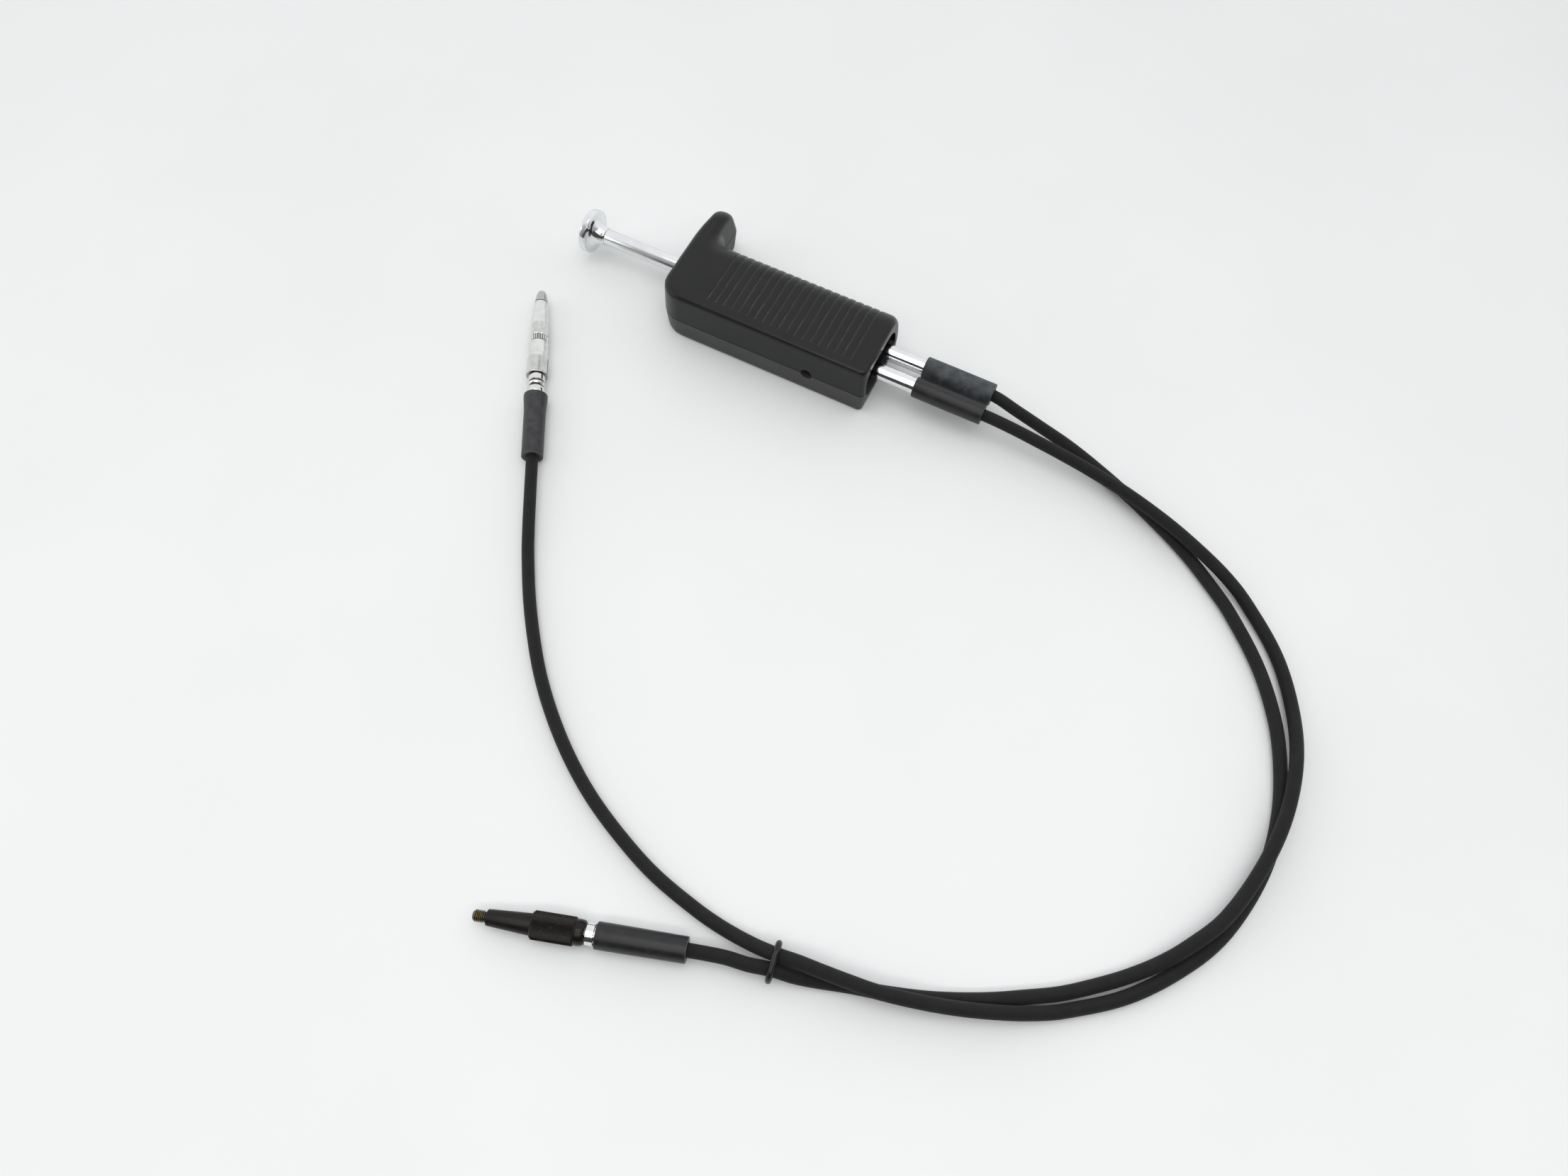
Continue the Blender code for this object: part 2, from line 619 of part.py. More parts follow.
def notch_outline(share):
    """Section of the rib cutter where it cuts a share of its depth, or clears the grip if below 0."""
    if share < 0:
        top_depth = -NOTCH_RELIEF
        side_depth = -NOTCH_RELIEF
    else:
        top_depth = share * TOP_NOTCH_DEPTH
        side_depth = share * NOTCH_DEPTH
    top = GRIP_HEIGHT - top_depth
    side = GRIP_WIDTH - side_depth
    over = GRIP_HEIGHT + EDGE_RADIUS
    past = GRIP_WIDTH + EDGE_RADIUS
    foot = PARTING_HEIGHT - EDGE_RADIUS
    sharp = NOTCH_RELIEF
    return rounded_outline([
        (NOTCH_MARGIN, over, sharp), (NOTCH_MARGIN, top, sharp),
        (side, top, FINGER_EDGE_RADIUS - side_depth), (side, foot, sharp),
        (past, foot, sharp), (past, over, sharp),
    ])


def rib_cutter():
    """Notches over the top and round the finger side, as an array of one lofted cutter."""
    half = NOTCH_WIDTH / 2
    shoulder = NOTCH_SHOULDER
    stations = [(-1, -1), (-shoulder, shoulder), (0, 1), (shoulder, shoulder), (1, -1)]
    rings = [(notch_outline(share), RIB_START + across * half) for across, share in stations]
    cutter = place_cutter("ribs", lofted("ribs", rings), rotation=ACROSS_X)
    repeat = cutter.modifiers.new("pitch", "ARRAY")
    repeat.use_relative_offset = False
    repeat.use_constant_offset = True
    repeat.constant_offset_displace = (0, 0, RIB_PITCH)
    repeat.count = int((GRIP_LENGTH - RIB_END_MARGIN - RIB_START) / RIB_PITCH) + 1
    return cutter


def screw_places():
    """Where the two shell screws stand in the plan."""
    beside_wall = SIDE_WALL + SCREW_BOSS_FROM_WALL
    return {
        "shell_screw_front": (FRONT_SCREW_FROM_FRONT, beside_wall),
        "shell_screw_rear": (GRIP_LENGTH - REAR_SCREW_FROM_END, beside_wall),
    }


def screw_spans(low, high):
    """Axes of the two screws between two heights."""
    return [((x, y, low), (x, y, high)) for x, y in screw_places().values()]


def grip_shell(name, seam, face, edges, edge_steps):
    """One half of the grip, lofted from its seam over its rounded edges to its flat face."""
    inward = math.copysign(1, seam - face)
    heights = [seam]
    for step in range(edge_steps + 1):
        angle = math.radians(90) * step / edge_steps
        heights.append(face + inward * edges["far"] * (1 - math.sin(angle)))
    rings = [(rounded_outline(grip_corners(height, face, edges)), height) for height in heights]
    return place(name, lofted(name, rings), GRIP_PLASTIC, GRIP_FRAME)


def build_shells():
    """Both halves of the grip, cut by the same rooms and holes."""
    upper_low = PARTING_HEIGHT + SHELL_SEAM / 2
    lower_high = PARTING_HEIGHT - SHELL_SEAM / 2
    upper = grip_shell("grip_upper_shell", upper_low, GRIP_HEIGHT, TOP_EDGES, TOP_EDGE_STEPS)
    lower = grip_shell("grip_lower_shell", lower_high, 0, FOOT_EDGES, FOOT_EDGE_STEPS)

    chambers = chamber_cutters()
    boss_roots = {upper: (upper_low, GRIP_HEIGHT - FLOOR_WALL / 2), lower: (FLOOR_WALL / 2, lower_high)}
    cuts = [clamp_pocket_cutter(), rod_hole_cutter(), bush_hole_cutter(), mouth_cutter(),
            side_hole_cutter()]
    boolean(upper, rib_cutter())
    for shell, span in boss_roots.items():
        for room in chambers:
            boolean(shell, room)
        name = shell.name + "_bosses"
        bosses = place_cutter(name, rods(name, screw_spans(*span), SCREW_BOSS_DIAMETER))
        boolean(shell, bosses, "UNION")
        for cutter in cuts:
            boolean(shell, cutter)

    pilot_top = PARTING_HEIGHT + SCREW_REACH + SCREW_SHANK_DIAMETER
    pilot = SCREW_SHANK_DIAMETER + 2 * CLEARANCE
    pilots = place_cutter("pilots", rods("pilots", screw_spans(-FLOOR_WALL, pilot_top), pilot, SMALL_STEPS))
    head_seat = SCREW_HEAD_DEPTH + SCREW_HEAD_HEIGHT + CLEARANCE
    head_room = SCREW_HEAD_DIAMETER + 2 * CLEARANCE
    heads = place_cutter("heads", rods("heads", screw_spans(-FLOOR_WALL, head_seat), head_room))
    boolean(upper, pilots)
    boolean(lower, pilots)
    boolean(lower, heads)


def build_shell_screws():
    """The two screws, heads down in the underside."""
    top = PARTING_HEIGHT + SCREW_REACH
    head = SCREW_HEAD_DEPTH + SCREW_HEAD_HEIGHT
    shank = SCREW_SHANK_DIAMETER / 2
    rim = SCREW_HEAD_DIAMETER / 2
    profile = [
        (top, 0), (top - shank, shank), (head, shank), (head, rim),
        (SCREW_HEAD_DEPTH + SCREW_HEAD_HEIGHT / 2, rim), (SCREW_HEAD_DEPTH, 0.7 * rim),
        (SCREW_HEAD_DEPTH, 0),
    ]
    for name, (x, y) in screw_places().items():
        turned(name, profile, STEEL, GRIP_FRAME, (x, y, 0), steps=SMALL_STEPS)


# Plunger


def build_button():
    """Trumpet-shaped thumb button: socket, flare, rim and dished face."""
    face = -ROD_REACH
    collar = face + BUTTON_LENGTH
    rim = BUTTON_DIAMETER / 2
    neck = BUTTON_COLLAR_DIAMETER / 2
    socket = SPIGOT_DIAMETER / 2 + CLEARANCE
    flare_steps = 6
    profile = [(collar - SPIGOT_LENGTH, 0), (collar - SPIGOT_LENGTH, socket), (collar, socket)]
    for step in range(flare_steps + 1):
        angle = math.radians(90) * step / flare_steps
        along = collar - (BUTTON_LENGTH - BUTTON_RIM) * math.sin(angle)
        profile.append((along, neck + (rim - neck) * (1 - math.cos(angle))))
    edge = BUTTON_DISH
    profile += [(face + edge, rim), (face, rim - edge), (face, 0.8 * rim),
                (face + 0.7 * edge, 0.45 * rim), (face + edge, 0)]
    turned("thumb_button", profile, CHROME, PLUNGER_FRAME, rotation=ALONG_X, steps=24)


def build_rod():
    """Plunger rod: tail, groove for the clip and spigot for the button."""
    tail_end = CROSSHEAD_START + CROSSHEAD_SOCKET - CLEARANCE
    shoulder = CROSSHEAD_START - CLEARANCE
    collar = BUTTON_LENGTH - ROD_REACH
    radius = ROD_DIAMETER / 2
    tail = ROD_TAIL_DIAMETER / 2
    groove = CLIP_SEAT_DIAMETER / 2
    spigot = SPIGOT_DIAMETER / 2
    profile = [
        (tail_end, 0), (tail_end, tail), (shoulder, tail), (shoulder, radius),
        (CLIP_END + CLEARANCE, radius), (CLIP_END + CLEARANCE, groove),
        (CLIP_START - CLEARANCE, groove), (CLIP_START - CLEARANCE, radius),
        (collar + CLEARANCE, radius), (collar + CLEARANCE, spigot),
        (collar - SPIGOT_LENGTH + CLEARANCE, spigot), (collar - SPIGOT_LENGTH + CLEARANCE, 0),
    ]
    turned("plunger_rod", profile, CHROME, PLUNGER_FRAME, rotation=ALONG_X)


def build_clip():
    """Open stop clip in the rod's groove."""
    outer = CLIP_DIAMETER / 2
    inner = CLIP_SEAT_DIAMETER / 2 + CLEARANCE
    steps = 14
    angles = [CLIP_GAP_ANGLE / 2 + (math.tau - CLIP_GAP_ANGLE) * step / steps for step in range(steps + 1)]
    outline = [outer * Vector((math.cos(angle), math.sin(angle))) for angle in angles]
    outline += [inner * Vector((math.cos(angle), math.sin(angle))) for angle in reversed(angles)]
    place("rod_stop_clip", extruded("rod_stop_clip", outline, CLIP_START, CLIP_END), STEEL,
          PLUNGER_FRAME, rotation=ALONG_X)


def build_bush():
    """Flanged bush that guides the rod."""
    body = BUSH_DIAMETER / 2
    flange = BUSH_FLANGE_DIAMETER / 2
    bore = ROD_DIAMETER / 2 + CLEARANCE
    profile = [
        (BUSH_END, body), (BUSH_START + BUSH_FLANGE, body), (BUSH_START + BUSH_FLANGE, flange),
        (BUSH_START, flange), (BUSH_START, bore), (BUSH_END, bore),
    ]
    turned("rod_guide_bush", profile, BRASS, GRIP_FRAME, SILVER_AXIS, ALONG_X)


def spring_points():
    """Helix of the return spring along its own Z, ten points to a turn."""
    turns = max(3, round((SPRING_END - SPRING_START) / SPRING_PITCH))
    count = 10 * turns
    points = []
    for step in range(count + 1):
        angle = math.tau * turns * step / count
        along = SPRING_START + (SPRING_END - SPRING_START) * step / count
        points.append(Vector((math.cos(angle) * SPRING_DIAMETER / 2,
                              math.sin(angle) * SPRING_DIAMETER / 2, along)))
    return points


def least_spring_gap(points):
    """Smallest gap between one turn of the spring and the next, measured on its points."""
    half_turn = 5
    distances = [
        (points[first] - points[second]).length
        for first in range(len(points)) for second in range(first + half_turn, len(points))
    ]
    return min(distances) - SPRING_WIRE


def swept(name, points, diameter, sides_step, material, parent, location=(0, 0, 0),
          rotation=(0, 0, 0), wall=None, closed=False):
    """A round wire along points, or a tube if it has a wall."""
    curve = bpy.data.curves.new(name, "CURVE")
    curve.dimensions = "3D"
    curve.bevel_depth = diameter / 2
    curve.bevel_resolution = sides_step
    curve.use_fill_caps = wall is None and not closed
    spline = curve.splines.new("POLY")
    spline.points.add(len(points) - 1)
    for knot, point in zip(spline.points, points):
        knot.co = (*point, 1)
    spline.use_cyclic_u = closed
    piece = place(name, curve, material, parent, location, rotation)
    if wall is not None:
        shell = piece.modifiers.new("wall", "SOLIDIFY")
        shell.thickness = wall
        shell.offset = -1
    return piece


def build_spring():
    """Return spring between the clip and its seat, and the washer of the seat."""
    points = spring_points()
    print("least gap between the spring's turns, mm:", round(1000 * least_spring_gap(points), 2))
    swept("return_spring", points, SPRING_WIRE, 1, STEEL, GRIP_FRAME, SILVER_AXIS, ALONG_X)
    bore = ROD_DIAMETER / 2 + CLEARANCE
    rim = SEAT_DIAMETER / 2
    end = SEAT_START + SEAT_THICKNESS
    profile = [(end, rim), (SEAT_START, rim), (SEAT_START, bore), (end, bore)]
    turned("spring_seat", profile, STEEL, GRIP_FRAME, SILVER_AXIS, ALONG_X)


def build_crosshead():
    """Bar across the rod's end, with a socket for the rod and one for each push pin."""
    half = CROSSHEAD_HEIGHT / 2
    outline = rounded_outline(rectangle(-CABLE_PITCH - half, -half, half, half, 0.99 * half))
    mesh = extruded("crosshead", outline, CROSSHEAD_START, CROSSHEAD_END)
    bar = place("crosshead", mesh, BRASS, PLUNGER_FRAME, rotation=ACROSS_X)
    tail_end = SILVER_AXIS + Vector((CROSSHEAD_START + CROSSHEAD_SOCKET, 0, 0))
    tail_start = SILVER_AXIS + Vector((CROSSHEAD_START - CROSSHEAD_SOCKET, 0, 0))
    tail_room = ROD_TAIL_DIAMETER + 2 * CLEARANCE
    boolean(bar, place_cutter("tail_socket", rods("tail_socket", [(tail_start, tail_end)], tail_room)))
    pin_spans = [
        (axis + Vector((CROSSHEAD_END - CROSSHEAD_SOCKET, 0, 0)),
         axis + Vector((CROSSHEAD_END + CROSSHEAD_SOCKET, 0, 0)))
        for axis in (SILVER_AXIS, BLACK_AXIS)
    ]
    pin_room = PUSH_PIN_DIAMETER + 2 * CLEARANCE
    boolean(bar, place_cutter("pin_sockets", rods("pin_sockets", pin_spans, pin_room)))


def build_push_pins():
    """Hollow pins that take the ends of the two wires."""
    radius = PUSH_PIN_DIAMETER / 2
    bore = PUSH_PIN_BORE / 2
    profile = [
        (PUSH_PIN_BORE_END, 0), (PUSH_PIN_BORE_END, bore), (PUSH_PIN_END, bore),
        (PUSH_PIN_END, radius), (PUSH_PIN_START, radius), (PUSH_PIN_START, 0),
    ]
    for name, axis in (("push_pin_silver", SILVER_AXIS), ("push_pin_black", BLACK_AXIS)):
        turned(name, profile, STEEL, PLUNGER_FRAME, axis - SILVER_AXIS, ALONG_X, SMALL_STEPS)


# Guide tubes and their clamp


def build_clamp():
    """Block in the saddle ribs that holds both tubes, and the set screw in its side."""
    half = CLAMP_HEIGHT / 2
    left = SIDE_WALL + CLEARANCE
    right = ROD_OFFSET + CLAMP_OVERHANG
    outline = rounded_outline(rectangle(
        left, AXIS_HEIGHT - half, right, AXIS_HEIGHT + half, CLAMP_CORNER_RADIUS,
    ))
    block = place("tube_clamp", extruded("tube_clamp", outline, CLAMP_START, CLAMP_END), BRASS,
                  GRIP_FRAME, rotation=ACROSS_X)
    past = Vector((CLAMP_LENGTH, 0, 0))
    middle = Vector(((CLAMP_START + CLAMP_END) / 2, 0, 0))
    spans = [(axis + middle - past, axis + middle + past) for axis in (SILVER_AXIS, BLACK_AXIS)]
    tube_room = TUBE_DIAMETER + 2 * CLEARANCE
    boolean(block, place_cutter("tube_bores", rods("tube_bores", spans, tube_room)))
    across = GRIP_LENGTH - SIDE_HOLE_FROM_END
    screw_room = SET_SCREW_DIAMETER + 2 * CLEARANCE
    hole = [((across, 0, PARTING_HEIGHT), (across, BLACK_AXIS.y, PARTING_HEIGHT))]
    boolean(block, place_cutter("set_screw_hole", rods("set_screw_hole", hole, screw_room)))

    screw_start = left + CLEARANCE
    screw_end = BLACK_AXIS.y - TUBE_DIAMETER / 2 - CLEARANCE
    radius = SET_SCREW_DIAMETER / 2
    socket = SET_SCREW_SOCKET / 2
    length = screw_end - screw_start
    profile = [
        (length, 0), (length, 0.7 * radius), (length - 0.3 * radius, radius), (0, radius),
        (0, socket), (2 * socket, socket), (2 * socket, 0),
    ]
    turned("timing_set_screw", profile, STEEL, GRIP_FRAME, (across, screw_start, PARTING_HEIGHT),
           (math.radians(-90), 0, 0), SMALL_STEPS)


def build_tubes():
    """Chrome guide tubes from the clamp to inside the sleeves."""
    radius = TUBE_DIAMETER / 2
    bore = TUBE_BORE / 2
    profile = [(TUBE_END, radius), (TUBE_START, radius), (TUBE_START, bore), (TUBE_END, bore)]
    for name, axis in (("guide_tube_silver", SILVER_AXIS), ("guide_tube_black", BLACK_AXIS)):
        turned(name, profile, CHROME, GRIP_FRAME, axis, ALONG_X)


def build_grip_sleeves():
    """Rubber sleeves over the tubes' ends and the cables."""
    tube_room = TUBE_DIAMETER / 2 + SLEEVE_FIT
    cable_room = CABLE_DIAMETER / 2 + SLEEVE_FIT
    step = TUBE_END + SLEEVE_FIT
    sleeves = (
        ("grip_sleeve_silver", SILVER_AXIS, SILVER_GRIP_SLEEVE_DIAMETER),
        ("grip_sleeve_black", BLACK_AXIS, BLACK_GRIP_SLEEVE_DIAMETER),
    )
    for name, axis, diameter in sleeves:
        profile = chamfered(SLEEVE_START, SLEEVE_END, diameter / 2, SLEEVE_EDGE)
        profile += [(SLEEVE_START, tube_room), (step, tube_room), (step, cable_room),
                    (SLEEVE_END, cable_room)]
        turned(name, profile, RUBBER, GRIP_FRAME, axis, ALONG_X)


# Connectors


def silver_heights():
    """Heights of the silver connector's steps above the end of its sleeve."""
    lengths = [
        ("sleeve", SILVER_SLEEVE_LENGTH), ("neck", SILVER_NECK), ("bead", SILVER_BEAD),
        ("collar", SILVER_COLLAR), ("rear_knurl", SILVER_REAR_KNURL), ("barrel", SILVER_BARREL),
        ("band", SILVER_BAND), ("front_knurl", SILVER_FRONT_KNURL), ("taper", SILVER_TAPER),
        ("tip", SILVER_TIP),
    ]
    heights = {}
    top = 0
    for name, length in lengths:
        top += length
        heights[name] = top
    return heights


def black_heights():
    """Heights of the black connector's steps above the end of its sleeve."""
    lengths = [
        ("sleeve", BLACK_SLEEVE_LENGTH), ("neck", BLACK_NECK), ("dome", BLACK_DOME),
        ("knurl", BLACK_KNURL), ("cone", BLACK_CONE), ("groove", BLACK_GROOVE),
        ("thread", THREAD_LENGTH),
    ]
    heights = {}
    top = 0
    for name, length in lengths:
        top += length
        heights[name] = top
    return heights


def pin_heights(tip, spigot_end):
    """Heights of a release pin and of what it slides in, from the tip down."""
    stop = tip - PIN_STOP
    tail_top = stop - CLEARANCE - STROKE
    tail_bore_top = tail_top - CLEARANCE
    wire_end = tail_bore_top - CLEARANCE
    tail_bottom = wire_end - STROKE - WIRE_ENGAGEMENT
    if tail_bottom > spigot_end:
        tail_bottom = spigot_end
    return {"tip": tip - PIN_RECESS, "stop": stop, "tail_top": tail_top,
            "tail_bore_top": tail_bore_top, "wire_end": wire_end, "tail_bottom": tail_bottom,
            "conduit_end": tail_bottom - CLEARANCE}


SILVER = silver_heights()
BLACK = black_heights()
SILVER_SPIGOT_END = SILVER["collar"] + FERRULE_SPIGOT
BLACK_SPIGOT_END = BLACK["neck"] + FERRULE_SPIGOT
SILVER_PIN = pin_heights(SILVER["tip"], SILVER_SPIGOT_END)
BLACK_PIN = pin_heights(BLACK["thread"], BLACK_SPIGOT_END)


def connector_sleeve(name, frame, outer, length, ferrule_diameter):
    """Rubber sleeve over the cable's end and the ferrule."""
    cable_room = CABLE_DIAMETER / 2 + SLEEVE_FIT
    ferrule_room = ferrule_diameter / 2 + SLEEVE_FIT
    step = length - FERRULE_IN_SLEEVE - SLEEVE_FIT
    bore = [(0, cable_room), (step, cable_room), (step, ferrule_room), (length, ferrule_room)]
    turned(name, outer + bore, RUBBER, frame)


def release_pin(name, frame, pin):
    """Pin that comes out of the tip: a thin rod with a hollow tail for the wire."""
    tail = PIN_TAIL_DIAMETER / 2
    bore = PIN_TAIL_BORE / 2
    rod = PIN_DIAMETER / 2
    profile = [
        (pin["tip"], 0), (pin["tip"], 0.8 * rod), (pin["tip"] - 0.5 * rod, rod),
        (pin["tail_top"], rod), (pin["tail_top"], tail), (pin["tail_bottom"], tail),
        (pin["tail_bottom"], bore), (pin["tail_bore_top"], bore), (pin["tail_bore_top"], 0),
    ]
    turned(name, profile, STEEL, frame, steps=SMALL_STEPS)


def build_silver_connector():
    """Sleeve, ferrule with bead, knurled barrel, nose and pin of the silver end."""
    at = SILVER
    plain = SILVER_SLEEVE_DIAMETER / 2
    mouth = SILVER_SLEEVE_MOUTH_DIAMETER / 2
    flare = 0.25 * SILVER_SLEEVE_LENGTH
    outer = [
        (at["sleeve"], mouth - SLEEVE_EDGE), (at["sleeve"] - SLEEVE_EDGE, mouth),
        (at["sleeve"] - 0.6 * flare, mouth - SLEEVE_EDGE / 2), (at["sleeve"] - flare, plain),
        (SLEEVE_EDGE, plain), (0, plain - SLEEVE_EDGE),
    ]
    connector_sleeve("silver_sleeve", SILVER_FRAME, outer, at["sleeve"], FERRULE_DIAMETER)

    bore = FERRULE_BORE / 2
    spigot = FERRULE_SPIGOT_DIAMETER / 2
    inner = FERRULE_DIAMETER / 2
    neck = SILVER_NECK_DIAMETER / 2
    bead = SILVER_BEAD_DIAMETER / 2
    collar = SILVER_COLLAR_DIAMETER / 2
    bottom = at["sleeve"] - FERRULE_IN_SLEEVE
    neck_bottom = at["sleeve"] + CLEARANCE
    bead_middle = (at["neck"] + at["bead"]) / 2
    ferrule = [
        (SILVER_SPIGOT_END, spigot), (at["collar"], spigot), (at["collar"], collar),
        (at["bead"] + CLEARANCE, collar), (bead_middle + SILVER_BEAD / 4, bead),
        (bead_middle - SILVER_BEAD / 4, bead), (at["neck"], neck), (neck_bottom, neck),
        (neck_bottom, inner), (bottom, inner), (bottom, bore), (SILVER_SPIGOT_END, bore),
    ]
    turned("silver_ferrule", ferrule, CHROME, SILVER_FRAME)

    barrel_bottom = at["collar"] + CLEARANCE
    barrel_top = at["barrel"] - CLEARANCE
    knurl = SILVER_REAR_KNURL_DIAMETER / 2
    plain = SILVER_BARREL_DIAMETER / 2
    room = spigot + CLEARANCE
    barrel = [
        (barrel_top, plain), (at["rear_knurl"], plain), (at["rear_knurl"], knurl - KNURL_CHAMFER),
        (at["rear_knurl"] - KNURL_CHAMFER, knurl), (barrel_bottom + KNURL_CHAMFER, knurl),
        (barrel_bottom, knurl - KNURL_CHAMFER), (barrel_bottom, room), (barrel_top, room),
    ]
    turned("silver_barrel", barrel, SATIN_SILVER, SILVER_FRAME, steps=24)

    band = SILVER_BAND_DIAMETER / 2
    front = SILVER_FRONT_KNURL_DIAMETER / 2
    taper = SILVER_TAPER_DIAMETER / 2
    nose = SILVER_NOSE_DIAMETER / 2
    tip = SILVER_TIP_DIAMETER / 2
    hole = PIN_HOLE_DIAMETER / 2
    pin_room = PIN_BORE_DIAMETER / 2
    tail = SILVER_SPIGOT_END + CLEARANCE
    body = [
        (at["tip"], tip), (at["tip"] - 0.5 * SILVER_TIP, 0.7 * tip + 0.3 * nose),
        (at["taper"] + 0.1 * SILVER_TIP, 0.93 * nose), (at["taper"], nose),
        (at["front_knurl"], taper), (at["front_knurl"], front - KNURL_CHAMFER),
        (at["front_knurl"] - KNURL_CHAMFER, front), (at["band"] + KNURL_CHAMFER, front),
        (at["band"], front - KNURL_CHAMFER), (at["band"], band), (at["barrel"], band),
        (at["barrel"], spigot), (tail, spigot), (tail, pin_room), (SILVER_PIN["stop"], pin_room),
        (SILVER_PIN["stop"], hole), (at["tip"], hole),
    ]
    turned("silver_nose", body, SATIN_SILVER, SILVER_FRAME, steps=24)
    release_pin("silver_release_pin", SILVER_FRAME, SILVER_PIN)


def build_black_connector():
    """Sleeve, ferrule, knurled threaded nose and pin of the black end."""
    at = BLACK
    plain = BLACK_SLEEVE_DIAMETER / 2
    outer = chamfered(0, at["sleeve"], plain, SLEEVE_EDGE)
    connector_sleeve("black_sleeve", BLACK_FRAME, outer, at["sleeve"], FERRULE_DIAMETER)

    bore = FERRULE_BORE / 2
    spigot = FERRULE_SPIGOT_DIAMETER / 2
    inner = FERRULE_DIAMETER / 2
    neck = BLACK_NECK_DIAMETER / 2
    bottom = at["sleeve"] - FERRULE_IN_SLEEVE
    neck_bottom = at["sleeve"] + CLEARANCE
    ferrule = [
        (BLACK_SPIGOT_END, spigot), (at["neck"], spigot), (at["neck"], neck), (neck_bottom, neck),
        (neck_bottom, inner), (bottom, inner), (bottom, bore), (BLACK_SPIGOT_END, bore),
    ]
    turned("black_ferrule", ferrule, CHROME, BLACK_FRAME)

    nose_bottom = at["neck"] + CLEARANCE
    dome = BLACK_DOME_DIAMETER / 2
    knurl = BLACK_KNURL_DIAMETER / 2
    cone = BLACK_CONE_DIAMETER / 2
    cone_end = BLACK_CONE_END_DIAMETER / 2
    groove = BLACK_GROOVE_DIAMETER / 2
    thread = THREAD_DIAMETER / 2
    hole = PIN_HOLE_DIAMETER / 2
    pin_room = PIN_BORE_DIAMETER / 2
    spigot_room = spigot + CLEARANCE
    spigot_top = BLACK_SPIGOT_END + CLEARANCE
    body = [
        (at["thread"], thread - KNURL_CHAMFER), (at["thread"] - KNURL_CHAMFER, thread),
        (at["groove"], thread), (at["groove"], groove), (at["cone"], groove), (at["cone"], cone_end),
        (at["knurl"], cone), (at["knurl"], knurl - KNURL_CHAMFER),
        (at["knurl"] - KNURL_CHAMFER, knurl), (at["dome"] + KNURL_CHAMFER, knurl),
        (at["dome"], knurl - KNURL_CHAMFER), (at["dome"], dome),
        (nose_bottom + 0.4 * BLACK_DOME, 0.95 * dome), (nose_bottom, 0.82 * dome),
        (nose_bottom, spigot_room), (spigot_top, spigot_room), (spigot_top, pin_room),
        (BLACK_PIN["stop"], pin_room), (BLACK_PIN["stop"], hole), (at["thread"], hole),
    ]
    turned("black_nose", body, BLACKED_BRASS, BLACK_FRAME, steps=24)
    release_pin("black_release_pin", BLACK_FRAME, BLACK_PIN)


# Cables


def on_connector(place_xy, height, heading, along):
    """Point on a connector's axis, in the grip's frame."""
    return Vector((place_xy[0] + math.cos(heading) * along, place_xy[1] + math.sin(heading) * along, height))


def smooth_route(points):
    """Evenly spaced points on a smooth curve from the second point to the last but one."""
    dense = []
    for index in range(1, len(points) - 2):
        before, start, end, after = points[index - 1:index + 3]
        span = (end - start).length
        leave = (end - before) / (span + (start - before).length)
        arrive = (after - start) / (span + (after - end).length)
        piece = interpolate_bezier(start, start + leave * span / 3, end - arrive * span / 3, end, 17)
        dense += piece[:-1]
    dense.append(points[-2])
    steps = [0.0]
    for first, second in zip(dense, dense[1:]):
        steps.append(steps[-1] + (second - first).length)
    count = round(steps[-1] / CABLE_POINT_SPACING)
    even = []
    for number in range(count + 1):
        target = steps[-1] * number / count
        index = next(i for i in range(1, len(steps)) if steps[i] >= target - TINY)
        share = (target - steps[index - 1]) / (steps[index] - steps[index - 1])
        even.append(dense[index - 1].lerp(dense[index], share))
    return even


def build_cable(colour, axis, route, place_xy, height, heading, jacket_end, pin):
    """Jacket, conduit and wire of one cable, all on the same route."""
    leave = [axis + Vector((TUBE_END, 0, 0)), axis + Vector((SLEEVE_END, 0, 0))]
    arrive = [on_connector(place_xy, height, heading, along) for along in (0, jacket_end)]
    free = smooth_route(leave + [Vector(point) for point in route] + arrive)
    length = sum((second - first).length for first, second in zip(free, free[1:]))
    print(colour, "cable between its sleeves, mm:", round(1000 * length, 1))
    layers = (
        ("cable_jacket_", TUBE_END + CLEARANCE, jacket_end, CABLE_DIAMETER, 2, BRAID, JACKET_WALL),
        ("cable_conduit_", CONDUIT_START, pin["conduit_end"], CONDUIT_DIAMETER, 1, STEEL, CONDUIT_WALL),
        ("inner_wire_", WIRE_START, pin["wire_end"], WIRE_DIAMETER, 0, STEEL, None),
    )
    for prefix, start, end, diameter, sides_step, material, wall in layers:
        first = axis + Vector((start, 0, 0))
        last = on_connector(place_xy, height, heading, end)
        swept(prefix + colour, [first] + free + [last], diameter, sides_step, material, GRIP_FRAME,
              wall=wall)
    return free


def build_cables():
    """Both cables."""
    silver_end = SILVER["sleeve"] - FERRULE_IN_SLEEVE - CLEARANCE
    black_end = BLACK["sleeve"] - FERRULE_IN_SLEEVE - CLEARANCE
    build_cable("silver", SILVER_AXIS, SILVER_ROUTE, SILVER_PLACE,
                SILVER_SLEEVE_MOUTH_DIAMETER / 2, SILVER_HEADING, silver_end, SILVER_PIN)
    build_cable("black", BLACK_AXIS, BLACK_ROUTE, BLACK_PLACE, BLACK_KNURL_DIAMETER / 2,
                BLACK_HEADING, black_end, BLACK_PIN)


